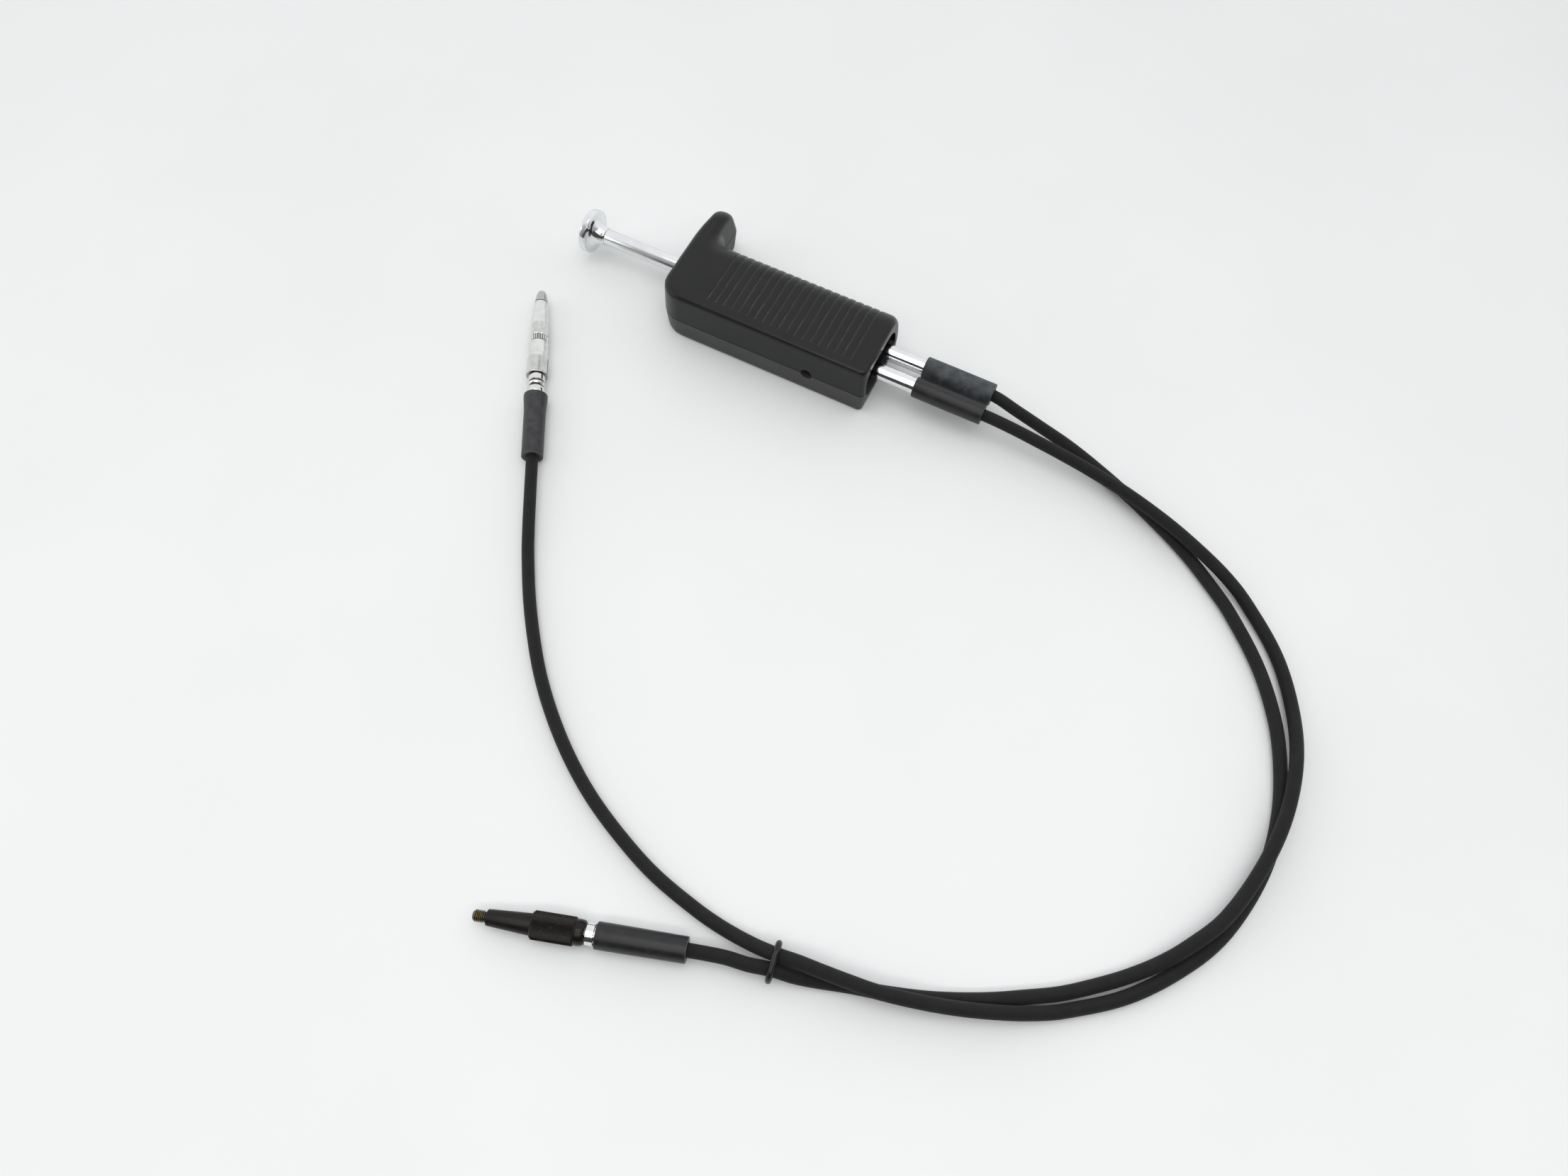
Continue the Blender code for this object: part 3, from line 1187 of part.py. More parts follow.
def build_ring():
    """Rubber ring round both cables, an oval about their two centres."""
    first, second = Vector(RING_ON_SILVER_CABLE), Vector(RING_ON_BLACK_CABLE)
    across = (first - second).normalized()
    up = Vector((0, 0, 1))
    up = (up - across * up.dot(across)).normalized()
    radius = CABLE_DIAMETER / 2 + RING_SLACK + RING_SECTION / 2
    points = []
    steps = 10
    for centre, begin in ((first, -90), (second, 90)):
        for step in range(steps + 1):
            angle = math.radians(begin + 180 * step / steps)
            points.append(centre + radius * (across * math.cos(angle) + up * math.sin(angle)))
    swept("cable_ring", points, RING_SECTION, 2, RUBBER, GRIP_FRAME, closed=True)


build_shells()
build_shell_screws()
build_button()
build_rod()
build_clip()
build_bush()
build_spring()
build_crosshead()
build_push_pins()
build_clamp()
build_tubes()
build_grip_sleeves()
build_silver_connector()
build_black_connector()
build_cables()
build_ring()
for item in PARTS.objects:
    if item.type == "MESH":
        smooth(item.data)
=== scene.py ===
"""Looks of a double cable shutter release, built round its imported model.

The file is laid out as an add-on and run as a script. Each operator dresses one group of pieces:
the stage, the two cables, the grip, the plunger, the guide tubes, the sleeves, the two connectors,
the ring and the works inside.
"""

import json
import math

import bmesh
import bpy
from bpy.props import FloatProperty, FloatVectorProperty, IntProperty, PointerProperty
from mathutils import Matrix, Vector
from mathutils.geometry import interpolate_bezier

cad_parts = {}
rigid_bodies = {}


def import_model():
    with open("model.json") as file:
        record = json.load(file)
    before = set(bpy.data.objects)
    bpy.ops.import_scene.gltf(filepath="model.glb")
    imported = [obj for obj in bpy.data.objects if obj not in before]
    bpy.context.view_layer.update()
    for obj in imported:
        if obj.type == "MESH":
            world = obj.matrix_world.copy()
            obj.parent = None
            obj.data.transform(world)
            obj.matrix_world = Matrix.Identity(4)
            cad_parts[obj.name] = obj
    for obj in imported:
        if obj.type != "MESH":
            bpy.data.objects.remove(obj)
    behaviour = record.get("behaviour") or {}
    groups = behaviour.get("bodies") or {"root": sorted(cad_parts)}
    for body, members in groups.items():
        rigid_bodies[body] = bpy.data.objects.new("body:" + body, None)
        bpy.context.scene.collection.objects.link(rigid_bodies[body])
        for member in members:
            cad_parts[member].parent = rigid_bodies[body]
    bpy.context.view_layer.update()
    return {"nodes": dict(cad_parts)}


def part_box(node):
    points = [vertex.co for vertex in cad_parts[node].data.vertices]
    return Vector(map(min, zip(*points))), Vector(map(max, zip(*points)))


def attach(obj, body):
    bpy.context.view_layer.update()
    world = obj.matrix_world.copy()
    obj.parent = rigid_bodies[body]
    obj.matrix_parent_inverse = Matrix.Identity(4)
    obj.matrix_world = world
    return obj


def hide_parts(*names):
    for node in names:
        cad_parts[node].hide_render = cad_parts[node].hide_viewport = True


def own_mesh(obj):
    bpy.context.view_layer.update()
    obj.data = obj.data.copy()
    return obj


bl_info = {
    "name": "Cable shutter release",
    "version": (1, 0, 0),
    "blender": (4, 5, 0),
    "location": "View3D > Sidebar > Release",
    "description": "Dresses the packed model of a double cable shutter release",
    "category": "Object",
}

for leftover in list(bpy.data.objects):
    bpy.data.objects.remove(leftover, do_unlink=True)
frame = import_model()

# Corner of the grip in the model's frame, from which the places below are measured, in metres
GRIP_CORNER = Vector((-0.03725, -0.02205, 0))
AXIS_HEIGHT = 0.0095
SILVER_ROW = 0.0192
BLACK_ROW = 0.0110
SILVER_PLACE = Vector((-0.0092, -0.0643, 0.00385))
SILVER_HEADING = math.radians(119.2)
BLACK_PLACE = Vector((0.1057, -0.1719, 0.00375))
BLACK_HEADING = math.radians(-162.1)
TUBE_END = 0.0963
SLEEVE_START = 0.0883
SLEEVE_END = 0.1118
SILVER_JACKET_END = 0.0070
BLACK_JACKET_END = 0.0080

# Cable routes from the sleeves at the grip to the connectors, measured from the grip's corner, and the
# height of a cable's middle where it lies on the floor
LYING = 0.00195
RING_ON_SILVER_CABLE = (0.1267, -0.16262, 0.0050)
RING_ON_BLACK_CABLE = (0.1273, -0.1663, 0.0040)
SILVER_ROUTE = [
    (0.1207, 0.0178, 0.0086), (0.1297, 0.0171, 0.0065), (0.1397, 0.0162, 0.0042),
    (0.1497, 0.0140, 0.0025), (0.1622, 0.0094, LYING), (0.1757, 0.0031, LYING),
    (0.1860, -0.0025, LYING), (0.1957, -0.0091, LYING), (0.2033, -0.0150, LYING),
    (0.2157, -0.0277, LYING), (0.2245, -0.0408, LYING), (0.2297, -0.0527, LYING),
    (0.2335, -0.0673, LYING), (0.2343, -0.0833, LYING), (0.2307, -0.1015, LYING),
    (0.2249, -0.1142, LYING), (0.2129, -0.1299, LYING), (0.1984, -0.1416, 0.0022),
    (0.1902, -0.1464, 0.0034), (0.1821, -0.1502, 0.0047), (0.1735, -0.1536, 0.0055),
    (0.1648, -0.1564, 0.0060), (0.1542, -0.1591, 0.0062), (0.1469, -0.1602, 0.0062),
    (0.1378, -0.1613, 0.0064), (0.1325, -0.1618, 0.0058), RING_ON_SILVER_CABLE,
    (0.1202, -0.1630, 0.0034), (0.1115, -0.1628, 0.0023), (0.1027, -0.1618, LYING),
    (0.0881, -0.1588, LYING), (0.0753, -0.1543, LYING), (0.0630, -0.1487, LYING),
    (0.0523, -0.1423, LYING), (0.0425, -0.1350, LYING), (0.0333, -0.1268, LYING),
    (0.0256, -0.1185, LYING), (0.0160, -0.1064, LYING), (0.0074, -0.0937, 0.0021),
    (0.0028, -0.0859, 0.0027), (-0.0031, -0.0752, 0.0036),
]
BLACK_ROUTE = [
    (0.1207, 0.0108, 0.0092), (0.1297, 0.0104, 0.0085), (0.1397, 0.0098, 0.0077),
    (0.1497, 0.0088, 0.0070), (0.1622, 0.0066, 0.0066), (0.1763, 0.0027, 0.0063),
    (0.1874, -0.0013, 0.0058), (0.1982, -0.0053, 0.0040), (0.2067, -0.0100, 0.0024),
    (0.2199, -0.0224, LYING), (0.2286, -0.0374, 0.0029), (0.2328, -0.0522, 0.0052),
    (0.2341, -0.0687, 0.0063), (0.2324, -0.0848, 0.0062), (0.2277, -0.1018, 0.0055),
    (0.2215, -0.1128, 0.0043), (0.2166, -0.1195, 0.0031), (0.2099, -0.1266, 0.0022),
    (0.2033, -0.1324, LYING), (0.1962, -0.1380, LYING), (0.1885, -0.1428, LYING),
    (0.1811, -0.1472, LYING), (0.1731, -0.1513, LYING), (0.1649, -0.1549, LYING),
    (0.1544, -0.1586, LYING), (0.1471, -0.1607, LYING), (0.1381, -0.1637, 0.0023),
    (0.1330, -0.1652, 0.0030), RING_ON_BLACK_CABLE, (0.1213, -0.1680, 0.0041),
    (0.1152, -0.1691, 0.0039),
]

# Each cable's row in the grip, route, connector, heading of the connector and end inside it
CABLES = {
    "silver": (SILVER_ROW, SILVER_ROUTE, SILVER_PLACE, SILVER_HEADING, SILVER_JACKET_END),
    "black": (BLACK_ROW, BLACK_ROUTE, BLACK_PLACE, BLACK_HEADING, BLACK_JACKET_END),
}
CABLE_SPACING = 0.0018

# Camera of the photograph: where it stood, what it looked at, its tilt and its focal length
CAMERA_PLACE = Vector((0.10242, -0.21058, 0.29941))
CAMERA_AIM = Vector((0.04372, -0.08916, 0))
CAMERA_ROLL = 0.0180
FOCAL_PIXELS = 1534
PHOTO_WIDTH = 2212
SENSOR_WIDTH = 36

# Lights round the middle of the release: distance towards the camera and to the left, height, size, power
STAGE_CENTRE = Vector((0.045, -0.085, 0))
LIGHTS = {
    "overhead_light": (0.06, 0, 0.95, (0.70, 0.70), 2.2),
    "left_light": (0, 0.85, 0.40, (0.45, 0.45), 0.6),
    "strip_light": (0.50, 0, 0.75, (0.90, 0.07), 1.15),
}
FLOOR_DROP = 0.00004

# Colours of the surroundings: beyond the release, beside it and behind the camera
FAR_TONE = (0.97, 0.98, 1.0)
SIDE_TONE = (0.40, 0.40, 0.39)
NEAR_TONE = (0.065, 0.062, 0.058)

MILLI = 0.001
MERGE_DISTANCE = 0.0000005
PRESS_GAP = 0.0003

# Notches across the grip's top, measured from its corner
FIRST_NOTCH = 0.0173
NOTCH_FROM_NEAR_SIDE = 0.0042
NOTCH_COUNT = 19
TOP_EDGE = (0.0192, 0.0196)

# Heights between which the end of a connector's sleeve gets a pale rim, a painted highlight on the rim's edge
# in the dust colour, and the radius where it starts
SLEEVE_RIM_HIGHLIGHT = (-0.00012, 0.00014, 0.0031)


def sizes():
    """The sizes that a user may change."""
    return bpy.context.scene.release_sizes


def colours():
    """The colours that a user may change."""
    return bpy.context.scene.release_colours


class ReleaseSizes(bpy.types.PropertyGroup):
    """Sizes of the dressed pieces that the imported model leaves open."""

    cable_diameter: FloatProperty(
        name="Cable diameter", description="Outside of the braided cables",
        default=0.0038, min=0.002, max=0.006, unit="LENGTH", precision=4)
    braid_step: FloatProperty(
        name="Braid step", description="Length of one repeat of the braid along a cable",
        default=0.00064, min=0.0005, max=0.004, unit="LENGTH", precision=5)
    braid_strands: IntProperty(
        name="Braid strands", description="Strands that go round the cable in one direction, an even number",
        default=24, min=6, max=40)
    silver_ridges: IntProperty(
        name="Silver ridges", description="Ridges of the knurling round the silver connector",
        default=64, min=20, max=90)
    black_ridges: IntProperty(
        name="Black ridges", description="Ridges of the knurling round the black connector",
        default=56, min=20, max=90)
    flutes: IntProperty(
        name="Flutes", description="Flutes of the dark band on the silver connector",
        default=22, min=8, max=48)
    ring_section: FloatProperty(
        name="Ring section", description="Thickness of the rubber ring round the cables",
        default=0.0017, min=0.001, max=0.004, unit="LENGTH", precision=4)
    rib_pitch: FloatProperty(
        name="Rib pitch", description="Distance from one notch of the grip to the next",
        default=0.00282, min=0.001, max=0.006, unit="LENGTH", precision=5)
    floor_width: FloatProperty(
        name="Floor width", description="Side of the square floor",
        default=24.0, min=1.0, max=60.0, unit="LENGTH")


class ReleaseColours(bpy.types.PropertyGroup):
    """Colours of the finishes."""

    plastic: FloatVectorProperty(
        name="Plastic", description="Moulded plastic of the grip",
        default=(0.0085, 0.0085, 0.0089), min=0, max=1, subtype="COLOR")
    # Pale colour of the dust on the rubber and in the notches, also used for the painted highlights on the
    # notches' edges and on the sleeves' rims
    dust_and_highlight: FloatVectorProperty(
        name="Dust", description="Pale dust that lies in the notches and on the rubber",
        default=(0.20, 0.19, 0.17), min=0, max=1, subtype="COLOR")
    chrome: FloatVectorProperty(
        name="Chrome", description="Bright plate of the plunger, tubes and ferrules",
        default=(0.80, 0.81, 0.82), min=0, max=1, subtype="COLOR")
    satin: FloatVectorProperty(
        name="Satin silver", description="Satin plate of the silver connector",
        default=(0.77, 0.775, 0.75), min=0, max=1, subtype="COLOR")
    # Dark colour at the foot of the flutes, knurling and thread, also used for the painted shade in the
    # grooves beside the ferrule's bead
    grime_and_shade: FloatVectorProperty(
        name="Grime", description="Dark deposit in flutes, knurling and thread",
        default=(0.06, 0.058, 0.055), min=0, max=1, subtype="COLOR")
    red: FloatVectorProperty(
        name="Red ring", description="Painted ring of the silver connector",
        default=(0.20, 0.022, 0.030), min=0, max=1, subtype="COLOR")
    blacked: FloatVectorProperty(
        name="Blacked brass", description="Black finish of the threaded connector",
        default=(0.0165, 0.0145, 0.0132), min=0, max=1, subtype="COLOR")
    brass: FloatVectorProperty(
        name="Brass", description="Brass where the finish has worn off, and of the inner pieces",
        default=(0.46, 0.34, 0.17), min=0, max=1, subtype="COLOR")
    steel: FloatVectorProperty(
        name="Steel", description="Bare steel of pins, spring and screws",
        default=(0.52, 0.52, 0.53), min=0, max=1, subtype="COLOR")
    rubber: FloatVectorProperty(
        name="Rubber", description="Rubber of the sleeves",
        default=(0.016, 0.016, 0.0168), min=0, max=1, subtype="COLOR")
    grey_rubber: FloatVectorProperty(
        name="Grey rubber", description="Faded rubber of the sleeve on the silver cable",
        default=(0.052, 0.058, 0.064), min=0, max=1, subtype="COLOR")
    braid: FloatVectorProperty(
        name="Braid", description="Textile braid of the cables",
        default=(0.0105, 0.0098, 0.0102), min=0, max=1, subtype="COLOR")
    floor: FloatVectorProperty(
        name="Floor", description="Plain pale floor",
        default=(0.86, 0.87, 0.865), min=0, max=1, subtype="COLOR")


# Material helpers


def material_base(name):
    """A new material and its node tree."""
    material = bpy.data.materials.new(name)
    material.use_nodes = True
    return material, material.node_tree


def node(tree, kind, **settings):
    """A new node with its settings."""
    made = tree.nodes.new(kind)
    for key, value in settings.items():
        setattr(made, key, value)
    return made


def feed(socket, value):
    """Link a socket to another one, or set it to a value."""
    if isinstance(value, bpy.types.NodeSocket):
        socket.id_data.links.new(value, socket)
    else:
        socket.default_value = value


def feed_all(made, values):
    """Feed the sockets of a node by their names."""
    for name, value in values.items():
        feed(made.inputs[name], value)


def place_on_object(tree):
    """Coordinates of the piece in the model's frame, in metres."""
    return node(tree, "ShaderNodeTexCoord").outputs["Object"]


def place_on_piece(tree, attribute):
    """Coordinates that a piece carries itself."""
    return node(tree, "ShaderNodeAttribute", attribute_name=attribute).outputs["Vector"]


def parts_of(vector):
    """The three parts of a vector."""
    made = node(vector.id_data, "ShaderNodeSeparateXYZ")
    feed(made.inputs["Vector"], vector)
    return tuple(made.outputs)


def stretched(vector, scale):
    """Coordinates scaled by three numbers."""
    made = node(vector.id_data, "ShaderNodeMapping")
    feed_all(made, {"Vector": vector, "Scale": scale})
    return made.outputs["Vector"]


def noise(vector, scale, detail=3, roughness=0.55):
    """Cloudy pattern between 0 and 1."""
    made = node(vector.id_data, "ShaderNodeTexNoise")
    feed_all(made, {"Vector": vector, "Scale": scale, "Detail": detail, "Roughness": roughness})
    return made.outputs["Fac"]


def math_of(operation, first, second=0):
    """One operation on a socket and a number or another socket."""
    made = node(first.id_data, "ShaderNodeMath", operation=operation)
    feed(made.inputs[0], first)
    feed(made.inputs[1], second)
    return made.outputs["Value"]


def product(first, *factors):
    """A socket multiplied by numbers or sockets."""
    for factor in factors:
        first = math_of("MULTIPLY", first, factor)
    return first


def between(value, low, high, new_low=0, new_high=1):
    """A number moved smoothly from one range into another."""
    made = node(value.id_data, "ShaderNodeMapRange", interpolation_type="SMOOTHSTEP")
    feed_all(made, {"Value": value, "From Min": low, "From Max": high, "To Min": new_low, "To Max": new_high})
    return made.outputs["Result"]


def band(value, low, high):
    """1 where a number lies between two limits, 0 elsewhere."""
    above = math_of("GREATER_THAN", value, low)
    return product(above, math_of("LESS_THAN", value, high))


def blend_colours(share, first, second):
    """A mix of two colours by a share."""
    made = node(share.id_data, "ShaderNodeMix", data_type="RGBA")
    sockets = {(socket.name, socket.type): socket for socket in made.inputs}
    feed(sockets["Factor", "VALUE"], share)
    for name, value in (("A", first), ("B", second)):
        if not isinstance(value, bpy.types.NodeSocket):
            value = (*value, 1)
        feed(sockets[name, "RGBA"], value)
    return next(socket for socket in made.outputs if socket.type == "RGBA")


def scaled(colour, share):
    """A colour made lighter or darker."""
    return tuple(min(1, part * share) for part in colour)


def mottled(pattern, colour, dark, light, low=0.3, high=0.75):
    """A colour that a pattern moves from a darker share of itself to a lighter one."""
    return blend_colours(between(pattern, low, high), scaled(colour, dark), scaled(colour, light))


def finished(material, inputs, height, strength, distance=0.0001):
    """Feed a material's shader, with relief from a height pattern, and hand the material back."""
    shader = material.node_tree.nodes["Principled BSDF"]
    relief = node(material.node_tree, "ShaderNodeBump")
    feed_all(relief, {"Strength": strength, "Distance": distance, "Height": height})
    feed_all(shader, {**inputs, "Normal": relief.outputs["Normal"]})
    return material


def from_axis(place):
    """Distance from a turned piece's axis and height along it, in metres."""
    across, up, along = parts_of(place)
    squares = (math_of("POWER", part, 2) for part in (across, up))
    return math_of("SQRT", math_of("ADD", *squares)), along


def plastic_finish(name, plastic, low, high, notched):
    """Half matt black plastic with a fine mould grain, and pale lines in the notches of the top: dust, and a
    painted highlight on each notch's edge.
    """
    material, tree = material_base(name)
    place = place_on_object(tree)
    cloud = noise(place, 140, 4)
    grain = noise(place, 5200, 2)
    tone = mottled(cloud, plastic, 0.9, 1.15, 0.35, 0.7)
    relief = product(grain, 0.13)
    if notched:
        # pale lines in the notches: dust, and a painted highlight on each notch's edge
        dust_and_highlight, hollow = notches_of(place)
        tone = blend_colours(dust_and_highlight, tone, colours().dust_and_highlight)
        relief = math_of("SUBTRACT", relief, hollow)
    rough = between(cloud, 0.3, 0.75, low, high)
    inputs = {"Base Color": tone, "Roughness": rough, "Specular IOR Level": 0.29}
    return finished(material, inputs, relief, 1, 0.00015)


def notches_of(place):
    """Share of pale line in the notches across the grip's top, dust and a painted highlight on each notch's
    edge, and the depth of their soft hollows.
    """
    along, across, up = parts_of(place)
    past_first = math_of("SUBTRACT", along, GRIP_CORNER.x + FIRST_NOTCH)
    steps = math_of("DIVIDE", past_first, sizes().rib_pitch)
    share = math_of("FRACT", math_of("ADD", steps, 0.5))
    off = math_of("ABSOLUTE", math_of("SUBTRACT", share, 0.5))
    line = between(off, 0.03, 0.07, 1, 0)
    hollow = between(off, 0.02, 0.24, 1, 0)
    near_end = GRIP_CORNER.y + NOTCH_FROM_NEAR_SIDE
    inside = between(across, near_end - 0.0002, near_end + 0.0002)
    zone = product(band(steps, -0.4, NOTCH_COUNT - 0.6), inside, between(up, *TOP_EDGE))
    speck = between(noise(place, 2600, 2), 0.36, 0.60, 0.05, 0.34)
    drift = between(noise(place, 190, 2), 0.35, 0.65, 0.25, 1)
    thinning = between(across, near_end, near_end + 0.020, 1, 0.35)
    return product(line, speck, drift, thinning, zone), product(hollow, zone)


def chrome_finish(name):
    """Bright plate with faint smears and hair scratches along the piece."""
    material, tree = material_base(name)
    place = place_on_piece(tree, "turned")
    smear = noise(place, 260, 4)
    hair = noise(stretched(place, (6000, 6000, 60)), 1, 2)
    tone = mottled(smear, colours().chrome, 0.94, 1.05)
    rough = between(smear, 0.3, 0.8, 0.09, 0.16)
    inputs = {"Base Color": tone, "Metallic": 1, "Roughness": rough}
    return finished(material, inputs, hair, 0.03)


def satin_finish(name, ridges, gloss=(0.20, 0.30), darker_from=None):
    """Satin plate with turning marks, and a darker colour at the foot of its ridges.

    The ridges are given by two heights, by the radius of their foot and of their top, all in
    millimetres, and by the share of the darker colour at their foot, painted shade in the ferrule's
    grooves. The gloss is a range of roughness. The plate is darker and glossier beyond a given height.
    """
    material, tree = material_base(name)
    place = place_on_piece(tree, "turned")
    marks = noise(stretched(place, (90, 90, 14000)), 1, 2)
    cloud = noise(place, 420, 3)
    satin = colours().satin
    tone = mottled(cloud, satin, 0.90, 1.05)
    low, high, foot, top = (size * MILLI for size in ridges[:4])
    distance, along = from_axis(place)
    # darker at the foot of the ridges; in the ferrule's grooves this is painted shade
    dark_foot = product(between(distance, foot, top, ridges[4], 0), band(along, low, high))
    tone = blend_colours(dark_foot, tone, colours().grime_and_shade)
    rough = between(marks, 0.25, 0.75, *gloss)
    # darker and glossier beyond a given height
    if darker_from:
        beyond = between(along, darker_from * MILLI, (darker_from + 0.1) * MILLI)
        tone = blend_colours(beyond, tone, scaled(satin, 0.62))
        rough = math_of("SUBTRACT", rough, product(beyond, 0.10))
    inputs = {"Base Color": tone, "Metallic": 1, "Roughness": rough}
    return finished(material, inputs, marks, 0.05)


def paint_finish(name, paint):
    """Worn paint in a groove."""
    material, tree = material_base(name)
    wear = noise(place_on_piece(tree, "turned"), 2400, 3)
    tone = mottled(wear, paint, 1, 0.55, 0.35, 0.75)
    inputs = {"Base Color": tone, "Roughness": between(wear, 0.3, 0.7, 0.35, 0.6)}
    return finished(material, inputs, wear, 0.1)


def blacked_finish(name):
    """Black finish on brass that has worn brown on its ridges, glossy on the bead below them."""
    material, tree = material_base(name)
    place = place_on_piece(tree, "turned")
    cloud = noise(place, 900, 4, 0.65)
    fine = noise(place, 6000, 2)
    distance, along = from_axis(place)
    tone = mottled(fine, colours().blacked, 0.75, 1.5, 0.3, 0.7)
    on_ridges = product(between(distance, 0.00366, 0.00376), 0.30)
    worn = product(between(cloud, 0.52, 0.72), math_of("ADD", on_ridges, 0.06))
    tone = blend_colours(worn, tone, scaled(colours().brass, 0.45))
    gloss = between(along, 0.0294, 0.0299, -0.14, 0)
    rough = math_of("ADD", between(cloud, 0.3, 0.75, 0.34, 0.50), gloss)
    inputs = {"Base Color": tone, "Metallic": 0.65, "Specular IOR Level": 0.35, "Roughness": rough}
    return finished(material, inputs, fine, 0.05)


def thread_finish(name):
    """Brass thread, lighter on its crests and darker in its roots."""
    material, tree = material_base(name)
    place = place_on_piece(tree, "turned")
    cloud = noise(place, 2200, 4)
    distance, _ = from_axis(place)
    tone = mottled(cloud, colours().brass, 0.40, 0.75)
    crests = between(distance, 0.00134, 0.00156)
    tone = blend_colours(crests, scaled(colours().grime_and_shade, 1.2), tone)
    rough = between(cloud, 0.3, 0.75, 0.25, 0.48)
    inputs = {"Base Color": tone, "Metallic": 0.9, "Roughness": rough}
    return finished(material, inputs, cloud, 0.06)


def rubber_finish(name, rubber, low, high, rim=None, uneven=(0.85, 1.25)):
    """Rubber with a fine skin and a faint bloom of dust, and a pale rim between two heights, a painted
    highlight on the edge of the sleeve's end.
    """
    material, tree = material_base(name)
    place = place_on_piece(tree, "turned")
    cloud = noise(place, 330, 4, 0.6)
    skin = noise(place, 4200, 3)
    tone = mottled(cloud, rubber, *uneven)
    bloom = product(between(skin, 0.60, 0.74), between(cloud, 0.45, 0.7, 0.05, 0.25))
    tone = blend_colours(bloom, tone, colours().dust_and_highlight)
    # painted highlight: a pale line on the outer edge of the sleeve's end, in the dust colour
    if rim:
        distance, along = from_axis(place)
        outside = between(distance, rim[2], rim[2] + 0.0001)
        pale = product(outside, 0.35, band(along, rim[0], rim[1]))
        tone = blend_colours(pale, tone, colours().dust_and_highlight)
    rough = between(cloud, 0.3, 0.75, low, high)
    inputs = {"Base Color": tone, "Roughness": rough, "Specular IOR Level": 0.40}
    return finished(material, inputs, skin, 0.07, 0.0002)


def braid_finish(name):
    """Black textile braid: two sets of strands that pass over and under each other round the cable, lighter
    on the strands' crowns and darker between them, a painted shade.
    """
    material, tree = material_base(name)
    run = place_on_piece(tree, "run")
    across, up, along = parts_of(run)
    around = product(math_of("ARCTAN2", up, across), sizes().braid_strands)
    along = product(along, math.tau / sizes().braid_step)
    right, left = (math_of("COSINE", product(math_of(way, along, around), 0.5))
                   for way in ("ADD", "SUBTRACT"))
    crossing = product(right, left)
    over = between(crossing, -0.12, 0.12)
    under = between(crossing, -0.12, 0.12, 1, 0)
    upper = product(math_of("POWER", right, 2), over)
    lower = product(math_of("POWER", left, 2), under)
    plait = math_of("ADD", upper, lower)
    fibre = noise(stretched(run, (14, 14, 9000)), 1, 2)
    cloud = noise(place_on_object(tree), 240, 3)
    braid = colours().braid
    # painted shade: the braid is darker where the plait is low, between the strands, and lighter on their
    # crowns
    tone = mottled(plait, braid, 0.75, 1.2, 0.15, 0.85)
    tone = blend_colours(between(cloud, 0.4, 0.8, 0, 0.35), tone, scaled(braid, 1.9))
    rough = between(plait, 0.2, 0.9, 0.85, 0.62)
    height = math_of("ADD", product(plait, 0.85), product(fibre, 0.15))
    inputs = {"Base Color": tone, "Roughness": rough, "Sheen Weight": 0.05, "Specular IOR Level": 0.25}
    return finished(material, inputs, height, 0.40, 0.0002)


def inner_metal(name, metal, low, high):
    """Plain turned or drawn metal of the pins and of the pieces inside the grip."""
    material, tree = material_base(name)
    place = place_on_object(tree)
    marks = noise(stretched(place, (9000, 400, 400)), 1, 2)
    cloud = noise(place, 500, 3)
    tone = mottled(cloud, metal, 0.8, 1.1)
    rough = between(marks, 0.25, 0.75, low, high)
    inputs = {"Base Color": tone, "Metallic": 1, "Roughness": rough}
    return finished(material, inputs, marks, 0.05)


# Shape helpers


def from_corner(point):
    """A place measured from the grip's corner, in the model's frame."""
    return GRIP_CORNER + Vector(point)


def along_grip(row):
    """Place of a piece turned about the grip's length, at a distance from its near side."""
    turn = Matrix.Rotation(math.radians(90), 4, "Y")
    return Matrix.Translation(from_corner((0, row, AXIS_HEIGHT))) @ turn


def on_connector(place, heading):
    """Place of a piece turned about a connector's axis, which starts at its sleeve's end."""
    turn = Matrix.Rotation(heading, 4, "Z") @ Matrix.Rotation(math.radians(90), 4, "Y")
    return Matrix.Translation(from_corner(place)) @ turn


def spun(profile, steps=64, rim=0.0):
    """A shape turned about Z from (height, radius) points in millimetres, with rims rounded by that much."""
    shape = bmesh.new()
    knots = [shape.verts.new((radius * MILLI, 0, height * MILLI)) for height, radius in profile]
    sides = [shape.edges.new(pair) for pair in zip(knots, knots[1:])]
    if profile[0][1] > 0:
        sides.append(shape.edges.new((knots[-1], knots[0])))
    bmesh.ops.spin(shape, geom=knots + sides, cent=(0, 0, 0), axis=(0, 0, 1), angle=math.tau,
                   steps=steps, use_merge=True, dvec=(0, 0, 0))
    bmesh.ops.remove_doubles(shape, verts=shape.verts, dist=MERGE_DISTANCE)
    bmesh.ops.recalc_face_normals(shape, faces=shape.faces)
    if rim:
        limit = math.radians(40)
        sharp = [edge for edge in shape.edges if edge.is_manifold and edge.calc_face_angle() > limit]
        bmesh.ops.bevel(shape, geom=sharp, offset=rim * MILLI, offset_type="OFFSET", segments=3,
                        profile=0.5, affect="EDGES", clamp_overlap=True, material=-1)
    return shape


def line_of(vert, steps):
    """Number of the line of points that a point of a turned shape belongs to."""
    return round(math.atan2(vert.co.y, vert.co.x) / math.tau * steps)


def knurled(profile, ridges, low, high, depth):
    """A turned shape with straight knurling: every other line of points between two heights goes in."""
    steps = 2 * ridges
    shape = spun(profile, steps)
    for vert in shape.verts:
        if low * MILLI < vert.co.z < high * MILLI and line_of(vert, steps) % 2:
            vert.co.xy *= 1 - depth * MILLI / vert.co.xy.length
    return shape


